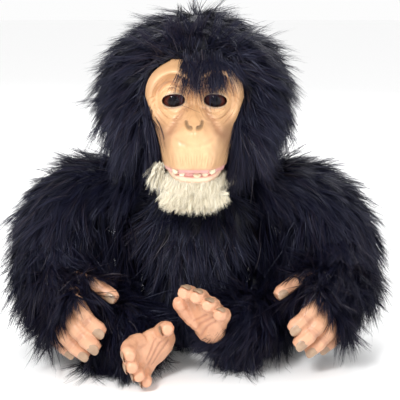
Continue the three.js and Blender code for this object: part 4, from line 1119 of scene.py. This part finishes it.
def strand_curves(guides, normal, per_guide, spread, clump):
    """The middle lines of strands gathered round guide hairs, each with its own reach and slight wave."""
    guide = np.repeat(guides, per_guide, axis=0)
    count = len(guide)
    helper = np.where(np.abs(normal[:, 2:]) < 0.9, np.array([[0, 0, 1.0]]), np.array([[1.0, 0, 0]]))
    side = unit(np.cross(normal, helper))
    other = np.cross(normal, side)
    angle = rng.random((count, 1)) * 2 * math.pi
    radius = spread * np.sqrt(rng.random((count, 1)))
    offset = (side * np.cos(angle) + other * np.sin(angle)) * radius

    reach = 0.55 + 0.45 * rng.random((count, 1)) ** 0.6
    place = ALONG[None, :] * reach * STEPS
    low = np.minimum(place.astype(int), STEPS - 1)
    part = (place - low)[..., None]
    rows = np.arange(count)[:, None]
    curve = guide[rows, low] * (1 - part) + guide[rows, low + 1] * part
    loose = (rng.random((count, 1)) < LOOSE_SHARE) * LOOSENESS
    gather = 1 - clump * (1 - loose) * ALONG[None, :] ** 0.7
    curve = curve + offset[:, None, :] * gather[..., None]
    length = np.linalg.norm(guide[:, -1] - guide[:, 0], axis=1)[:, None, None]
    stray = rng.standard_normal((count, 1, 3)) * (0.035 + 0.09 * loose[:, :, None])
    curve = curve + stray * length * (ALONG**1.4)[None, :, None]
    phase = rng.random((count, 1)) * 6
    wave = np.sin(ALONG[None, :] * 5 + phase)[..., None] * side[:, None, :]
    curve = curve + wave * length * 0.02 * ALONG[None, :, None]
    return np.clip(curve, FUR_LOW, FUR_HIGH)


def ribbons(curve, normal, width):
    """The corners and quads of flat ribbons along curves. They taper to their tips and twist a little."""
    count = len(curve)
    tangent = unit(np.gradient(curve, axis=1))
    twist = rng.standard_normal((count, 1, 1)) * 0.6
    facing = unit(normal[:, None, :] + np.cross(tangent, normal[:, None, :]) * twist)
    across = unit(np.cross(tangent, facing))
    breadth = width * (0.7 + 0.6 * rng.random((count, 1))) * (1 - 0.86 * ALONG[None, :] ** 1.5)
    left = curve - across * breadth[..., None] / 2
    right = curve + across * breadth[..., None] / 2
    points = np.stack([left, right], axis=2).reshape(-1, 3)
    start = (np.arange(count) * 2 * (STEPS + 1))[:, None] + np.arange(STEPS)[None, :] * 2
    return points, np.stack([start, start + 1, start + 3, start + 2], axis=-1).reshape(-1, 4)


def strand_tones(guides, per_guide):
    """A UV place for each corner of the ribbons: u is the strand's tone, and v runs from root to tip."""
    patch = noise_at(guides[:, 0], 22)
    drawn = rng.standard_normal(len(guides) * per_guide)
    tone = np.clip(0.36 + 0.3 * np.repeat(patch, per_guide) + 0.24 * drawn, 0.01, 0.98)
    u = tone[:, None, None] + np.array([0.0, 0.004, 0.004, 0.0])[None, None, :]
    v = (np.arange(STEPS)[:, None] + np.array([0, 0, 1, 1])[None, :]) / STEPS
    return np.stack(np.broadcast_arrays(u, v[None]), axis=-1)


def strands(name, guides, normals, per_guide, spread, clump, width, body, material):
    """A piece of fur: flat tapering strands gathered round guide hairs."""
    normal = np.repeat(normals, per_guide, axis=0)
    curve = strand_curves(guides, normal, per_guide, spread, clump)
    points, faces = ribbons(curve, normal, width)
    made = mesh_object(name, points, faces, material)
    layer = made.data.uv_layers.new(name="OFBake")
    layer.data.foreach_set("uv", np.ascontiguousarray(strand_tones(guides, per_guide), np.float32).ravel())
    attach(made, body)


def radial_comb(points, centre, stretch=(1, 1, 1)):
    return unit((points / MM - np.array(centre, float)) * np.array(stretch, float))


def comb_head(points):
    """Down and back over the scalp, outwards round the face, and down beside the cheeks."""
    x, y, z = (points / MM).T
    crown = radial_comb(points, (0, 8, 330))
    round_face = radial_comb(points, (0, -50, 252), (1, 0.2, 1))
    near_face = smoothstep(-30, -44, y)[:, None]
    fall = smoothstep(300, 235, z)[:, None]
    comb = crown * (1 - near_face) + round_face * near_face + DOWN * (0.3 + 0.9 * fall)
    return unit(comb + np.stack([0.35 * np.sign(x), 0.1 + 0 * x, 0 * x], axis=1) * fall)


def comb_torso(points):
    """Down the chest and back, and out over the arms from the shoulders."""
    x, y, z = (points / MM).T
    shoulder = smoothstep(128, 155, z) * smoothstep(20, 50, np.abs(x))
    flank = smoothstep(36, 60, np.abs(x)) * smoothstep(58, 80, z)
    outwards = 0.25 * np.sin(y * 0.09) + x / 160 + (1.6 * shoulder + 0.8 * flank) * np.sign(x)
    return unit(np.stack([outwards, 0.1 * np.sin(x * 0.11), -1 + 0.6 * shoulder], axis=1))


def head_length(points):
    """Longer towards the nape and the sides of the neck."""
    return 30 + 22 * smoothstep(255, 212, points[:, 2] / MM)


def torso_length(points):
    """Longest over the shoulders, and long on the flanks, where it fills the gap beside the arms."""
    x, _, z = (points / MM).T
    flank = smoothstep(36, 60, np.abs(x)) * smoothstep(58, 80, z)
    return 32 + 18 * smoothstep(125, 150, z) * smoothstep(25, 50, np.abs(x)) + 14 * flank


def even_length(length):
    return lambda points: float(length)


def same_way(heading, count):
    """One direction, repeated for a number of hairs."""
    return np.tile(unit(np.array(heading, float)), (count, 1))


def comb_limb(key):
    """Along the limb to its end, and a little downwards."""
    line = np.array(LIMB_LINES[key], float)
    headings = unit(np.gradient(line, axis=0))
    travelled = np.concatenate([[0], np.cumsum(np.linalg.norm(np.diff(line, axis=0), axis=1))])

    def comb(points):
        _, place = line_distance(points / MM, line)
        heading = np.stack([np.interp(place, travelled, headings[:, i]) for i in range(3)], axis=1)
        messy = np.stack([np.sin(points[:, 2] / MM * 0.13), np.cos(points[:, 1] / MM * 0.11)], axis=1)
        sway = np.stack([messy[:, 0], messy[:, 1], np.zeros(len(points))], axis=1)
        return unit(heading + 0.35 * DOWN + 0.22 * sway)

    return comb


def comb_chin(points):
    sweep = np.array([-0.35, 0.0, -1.1])
    return unit(radial_comb(points, (4, -60, 175), (0.8, 0.6, 0.4)) + sweep)


# Fur areas: stuffed body, guides, strands on each, lift, droop, curl, clump radius, strand width,
# comb and guide length.
FUR_AREAS = [
    ("hood", 3900, 15, 0.36, 0.12, 0.07, 4.4, 0.5, comb_head, head_length),
    ("torso", 2800, 14, 0.34, 0.12, 0.09, 4.6, 0.52, comb_torso, torso_length),
    ("flap", 620, 14, 0.34, 0.12, 0.08, 4.6, 0.52, comb_torso, even_length(36)),
    ("arm_right", 2600, 14, 0.28, 0.12, 0.09, 4.6, 0.52, comb_limb("arm_right"), even_length(38)),
    ("arm_left", 2600, 14, 0.28, 0.12, 0.09, 4.6, 0.52, comb_limb("arm_left"), even_length(38)),
    ("leg_right", 1300, 14, 0.34, 0.14, 0.09, 4.6, 0.6, comb_limb("leg_right"), even_length(36)),
    ("leg_left", 1300, 14, 0.34, 0.14, 0.09, 4.6, 0.6, comb_limb("leg_left"), even_length(36)),
    ("chin", 900, 18, 0.36, 0.14, 0.14, 2.6, 0.3, comb_chin, even_length(10)),
]
MAX_STRANDS = 19_000  # in one piece

for key, guide_count, per_guide, lift, droop, curl, spread, width, comb, length in FUR_AREAS:
    roots, normals = sample_surface(PILES[key], guide_count, key)
    guides = grow(roots, normals, comb(roots), length(roots) * MM, lift, droop, curl)
    parts = math.ceil(len(guides) * per_guide / MAX_STRANDS)
    order = np.array_split(np.arange(len(guides)), parts)
    for part, chosen in enumerate(order):
        strands(
            f"{key}_fur_{part + 1}",
            guides[chosen],
            normals[chosen],
            per_guide,
            spread * MM,
            0.6,
            width * MM,
            STUFFED[key][1],
            CHIN_FUR if key == "chin" else FUR,
        )


def mirrored(lock):
    """The lock of the animal's right side that matches one of its left side."""
    name, body, low, high, heading, facing, *rest = lock
    names = (name.replace("left", "right"), body.replace("left", "right"))
    (x_low, *low_rest), (x_high, *high_rest) = low, high
    box = ((-x_high, *low_rest), (-x_low, *high_rest))
    return (*names, *box, (-heading[0], *heading[1:]), (-facing[0], *facing[1:]), *rest)


# Locks that hang from a small area. Each: name, body, root box low and high, heading, root normal,
# length, droop, guides, strands on each, material.
CHEEK = (
    "cheek_left", "head", (37, -48, 205), (50, -40, 250),
    (-0.12, -0.4, -0.9), (0.5, -1, 0), 46, 0.2, 100, 14, FUR,
)
JOWL = (
    "jowl_left", "head", (31, -46, 196), (44, -20, 212),
    (-0.08, -0.5, -0.85), (1, -0.6, 0), 44, 0.25, 90, 14, FUR,
)
FLANK = (
    "flank_left", "torso", (62, -34, 92), (74, 24, 136),
    (0.6, -0.3, -0.75), (1, -0.4, 0), 54, 0.1, 200, 14, FUR,
)
INNER_ARM = (
    "inner_arm_left", "arm_left", (84, -34, 88), (98, 10, 130),
    (-0.55, -0.3, -0.8), (-1, -0.5, 0), 46, 0.1, 190, 14, FUR,
)
SHOULDER = (
    "shoulder_left", "torso", (52, -14, 150), (78, 24, 166),
    (0.5, -0.7, -0.4), (0.3, -0.5, 1), 44, 0.14, 130, 14, FUR,
)
LOCKS = [
    (
        "forelock", "head", (-9, -55, 282), (23, -50, 290),
        (0.05, -0.5, -0.7), (0, -1, 0.3), 36, 0.3, 150, 13, FUR,
    ),
    (
        "forelock_right", "head", (-9, -56, 281), (2, -52, 287),
        (-0.05, -0.4, -0.8), (0, -1, 0.2), 39, 0.3, 40, 11, FUR,
    ),
    (
        "forelock_left", "head", (12, -57, 280), (24, -52, 287),
        (0.1, -0.4, -0.8), (0, -1, 0.2), 35, 0.3, 44, 11, FUR,
    ),
    (
        "forelock_tips", "head", (-7, -58, 280), (20, -53, 285),
        (-0.05, -0.4, -0.8), (0, -1, 0.2), 48, 0.3, 24, 5, FUR,
    ),
    (
        "brow_wisps", "head", (24, -54, 279), (38, -47, 286),
        (0.3, -0.7, -0.4), (0, -1, 0.3), 27, 0.3, 22, 6, FUR,
    ),
    CHEEK,
    mirrored(CHEEK),
    JOWL,
    mirrored(JOWL),
    mirrored(FLANK),
    FLANK,
    mirrored(INNER_ARM),
    INNER_ARM,
    (
        "foot_edge_right", "leg_right", (-68, -106, 8), (-56, -92, 30),
        (-0.1, -0.8, -0.5), (-1, -0.5, 0), 30, 0.15, 60, 12, FUR,
    ),
    (
        "foot_edge_left", "leg_left", (22, -100, 24), (38, -92, 62),
        (-0.5, -0.75, 0), (0.3, -1, 0), 30, 0.1, 80, 12, FUR,
    ),
    mirrored(SHOULDER),
    SHOULDER,
    (
        "beard_tuft", "jaw", (-37, -64, 176), (-28, -54, 190),
        (-0.6, -0.2, -0.7), (-0.8, -0.7, 0), 17, 0.1, 70, 16, CHIN_FUR,
    ),
    (
        "leg_fringe_right", "leg_right", (-100, -90, 8), (-62, -66, 30),
        (-0.15, -0.8, -0.4), (-0.3, -1, 0.2), 46, 0.2, 110, 14, FUR,
    ),
    (
        "leg_fringe_left", "leg_left", (20, -94, 24), (62, -74, 40),
        (0.05, -0.55, -0.8), (0.2, -1, 0), 44, 0.2, 110, 14, FUR,
    ),
]
for name, body, low, high, heading, facing, length, droop, guide_count, per_guide, material in LOCKS:
    roots = (np.array(low) + (np.array(high) - np.array(low)) * rng.random((guide_count, 3))) * MM
    normals = same_way(facing, guide_count)
    margin = 2.4 * MM if body == "head" else 1.0 * MM
    guides = grow(roots, normals, same_way(heading, guide_count), length * MM, 0.12, droop, 0.07, margin)
    strands(name, guides, normals, per_guide, 2.4 * MM, 0.5, 0.42 * MM, body, material)


def ring_roots(centre, heading, radius, count):
    """Places and outward normals round a ring."""
    heading = unit(np.array(heading, float))
    side = unit(np.cross(heading, (0.2, 0.3, 1.0)))
    other = np.cross(heading, side)
    angle = rng.random((count, 1)) * 2 * math.pi
    normals = side * np.cos(angle) + other * np.sin(angle)
    back = rng.random((count, 1)) * 12
    return (np.array(centre) + normals * radius - heading * back) * MM, normals


# The cuffs, whose long fur falls over the backs of the hands and the ankles.
# Limb, places of its ends, radius, length and guides.
CUFFS = [("arm", HANDS, 19, 50, 190), ("leg", FEET, 16, 26, 120)]
for (limb, ends, radius, length, guide_count), (side, _) in itertools.product(CUFFS, SIDES):
    key = f"{limb}_{side}"
    line = np.array(LIMB_LINES[key], float)
    centre = ends[side]["centre"]
    heading = unit(np.array(centre, float) - line[-1])
    roots, normals = ring_roots(line[-1], heading, radius, guide_count)
    comb = np.tile(heading, (guide_count, 1))
    guides = grow(roots, normals, comb, length * MM, 0.15, 0.06, 0.08, 0.8 * MM)
    strands(f"{key}_cuff", guides, normals, 14, 3.4 * MM, 0.5, 0.55 * MM, key, FUR)


def back_roots(made, side, sign, count):
    """Places and normals on the back of a hand, from the wrist to the knuckles and the thumb's root."""
    points, normals, _ = arrays_of(made.data)
    entry = HANDS[side]
    axes = extremity_axes(entry, sign)
    local = (points / MM - np.array(entry["centre"], float)) @ axes.T
    before_knuckles = (local[:, 0] < 26) & (local[:, 1] < 31)
    thumb_root = local[:, 0] < 8
    usable = np.flatnonzero((before_knuckles | thumb_root) & (normals @ axes[2] < 0.15))
    chosen = rng.choice(usable, size=count)
    return points[chosen], normals[chosen]


# The sleeve's fur also covers the back of the hand down to the knuckles.
for made, (side, sign) in zip(EXTREMITIES, SIDES):
    roots, normals = back_roots(made, side, sign, 400)
    heading = unit(np.array(HANDS[side]["t"], float)) + 0.25 * DOWN
    guides = grow(roots, normals, same_way(heading, len(roots)), 33 * MM, 0.3, 0.08, 0.09, 0.8 * MM)
    strands(f"hand_back_{side}", guides, normals, 14, 3.4 * MM, 0.5, 0.55 * MM, f"arm_{side}", FUR)


def grow_beard(count):
    """The white beard that starts under the lower lip and runs up beside the mouth's corners."""
    share = np.sin((rng.random(count) * 2 - 1) * math.pi / 2) * 1.25
    level = MOUTH["lower_lip"]
    line = mouth_line(level - 5.0, level, 2.6, np.clip(share, -1, 1), MOUTH["lift"] - 4)
    line[:, 0] *= np.maximum(1, np.abs(share))
    roots = (line + rng.standard_normal((count, 3)) * np.array([1.2, 0.8, 0.8])) * MM
    x, ones = line[:, 0], np.ones(count)
    normals = unit(np.stack([x / 26, -ones, -0.2 * ones], axis=1))
    sideways = np.where(x > 0, -x / 90, x / 70) - 0.15  # it narrows on the animal's left
    comb = unit(np.stack([sideways, -0.1 * ones, -ones], axis=1))
    guides = grow(roots, normals, comb, 13 * MM, 0.2, 0.1, 0.12, 0.5 * MM)
    strands("beard", guides, normals, 18, 2.6 * MM, 0.05, 0.28 * MM, "jaw", CHIN_FUR)


grow_beard(900)

# ---- Floor, light and camera ----


LIGHTS = [  # name, place, target, size, watts
    ("key", (-0.5, -0.95, 1.0), (0, -0.02, 0.2), 0.25, 14),
    ("fill", (0.9, -0.9, 0.5), (0, 0, 0.15), 0.9, 4),
    ("back", (0.3, 1.1, 1.1), (0, 0, 0.2), 1.0, 14),
]
SKY_STRENGTH = 0.98
CAMERA = {"aim": (0.0049, -0.0055, 0.142), "elevation": 14, "distance": 0.9, "sensor": 36, "lens": 83.2}


def build_floor():
    """A pale seamless floor."""
    bpy.ops.mesh.primitive_plane_add(size=12)
    floor = bpy.context.object
    floor.name = "floor"
    made, tree, shader = node_material("pale_floor")
    pale = ramp_node(tree, noise_node(tree, 40), [(0, (0.95, 0.95, 0.95)), (1, (0.97, 0.97, 0.97))])
    tree.links.new(pale, shader.inputs["Base Color"])
    shader.inputs["Roughness"].default_value = 0.9
    floor.data.materials.append(made)


def aimed(made, place, heading):
    """A light or camera, put in its place and turned to face along a heading."""
    made.location = place
    made.rotation_mode = "QUATERNION"
    made.rotation_quaternion = heading.to_track_quat("-Z", "Y")
    return made


def add_light(name, place, target, size, power):
    """A soft square light that faces a point."""
    data = bpy.data.lights.new(name, "AREA")
    data.size = size
    data.energy = power
    aimed(new_object(name, data), place, Vector(target) - Vector(place))


def build_camera():
    """A camera before the face and a little above it, as far off as a hand-held camera would be."""
    aim = Vector(CAMERA["aim"])
    elevation = math.radians(CAMERA["elevation"])
    back = Vector((0, -math.cos(elevation), math.sin(elevation)))
    data = bpy.data.cameras.new("view")
    data.sensor_width = CAMERA["sensor"]
    data.lens = CAMERA["lens"]
    data.dof.use_dof = False
    bpy.context.scene.camera = aimed(new_object("view", data), aim + back * CAMERA["distance"], -back)


def build_sky():
    """An even white surround, shown as it is."""
    world = bpy.data.worlds.new("studio")
    world.use_nodes = True
    sky = world.node_tree.nodes["Background"]
    sky.inputs["Color"].default_value = (1, 1, 1, 1)
    sky.inputs["Strength"].default_value = SKY_STRENGTH
    bpy.context.scene.world = world
    bpy.context.scene.view_settings.view_transform = "Standard"


build_floor()
for light in LIGHTS:
    add_light(*light)
build_sky()
build_camera()
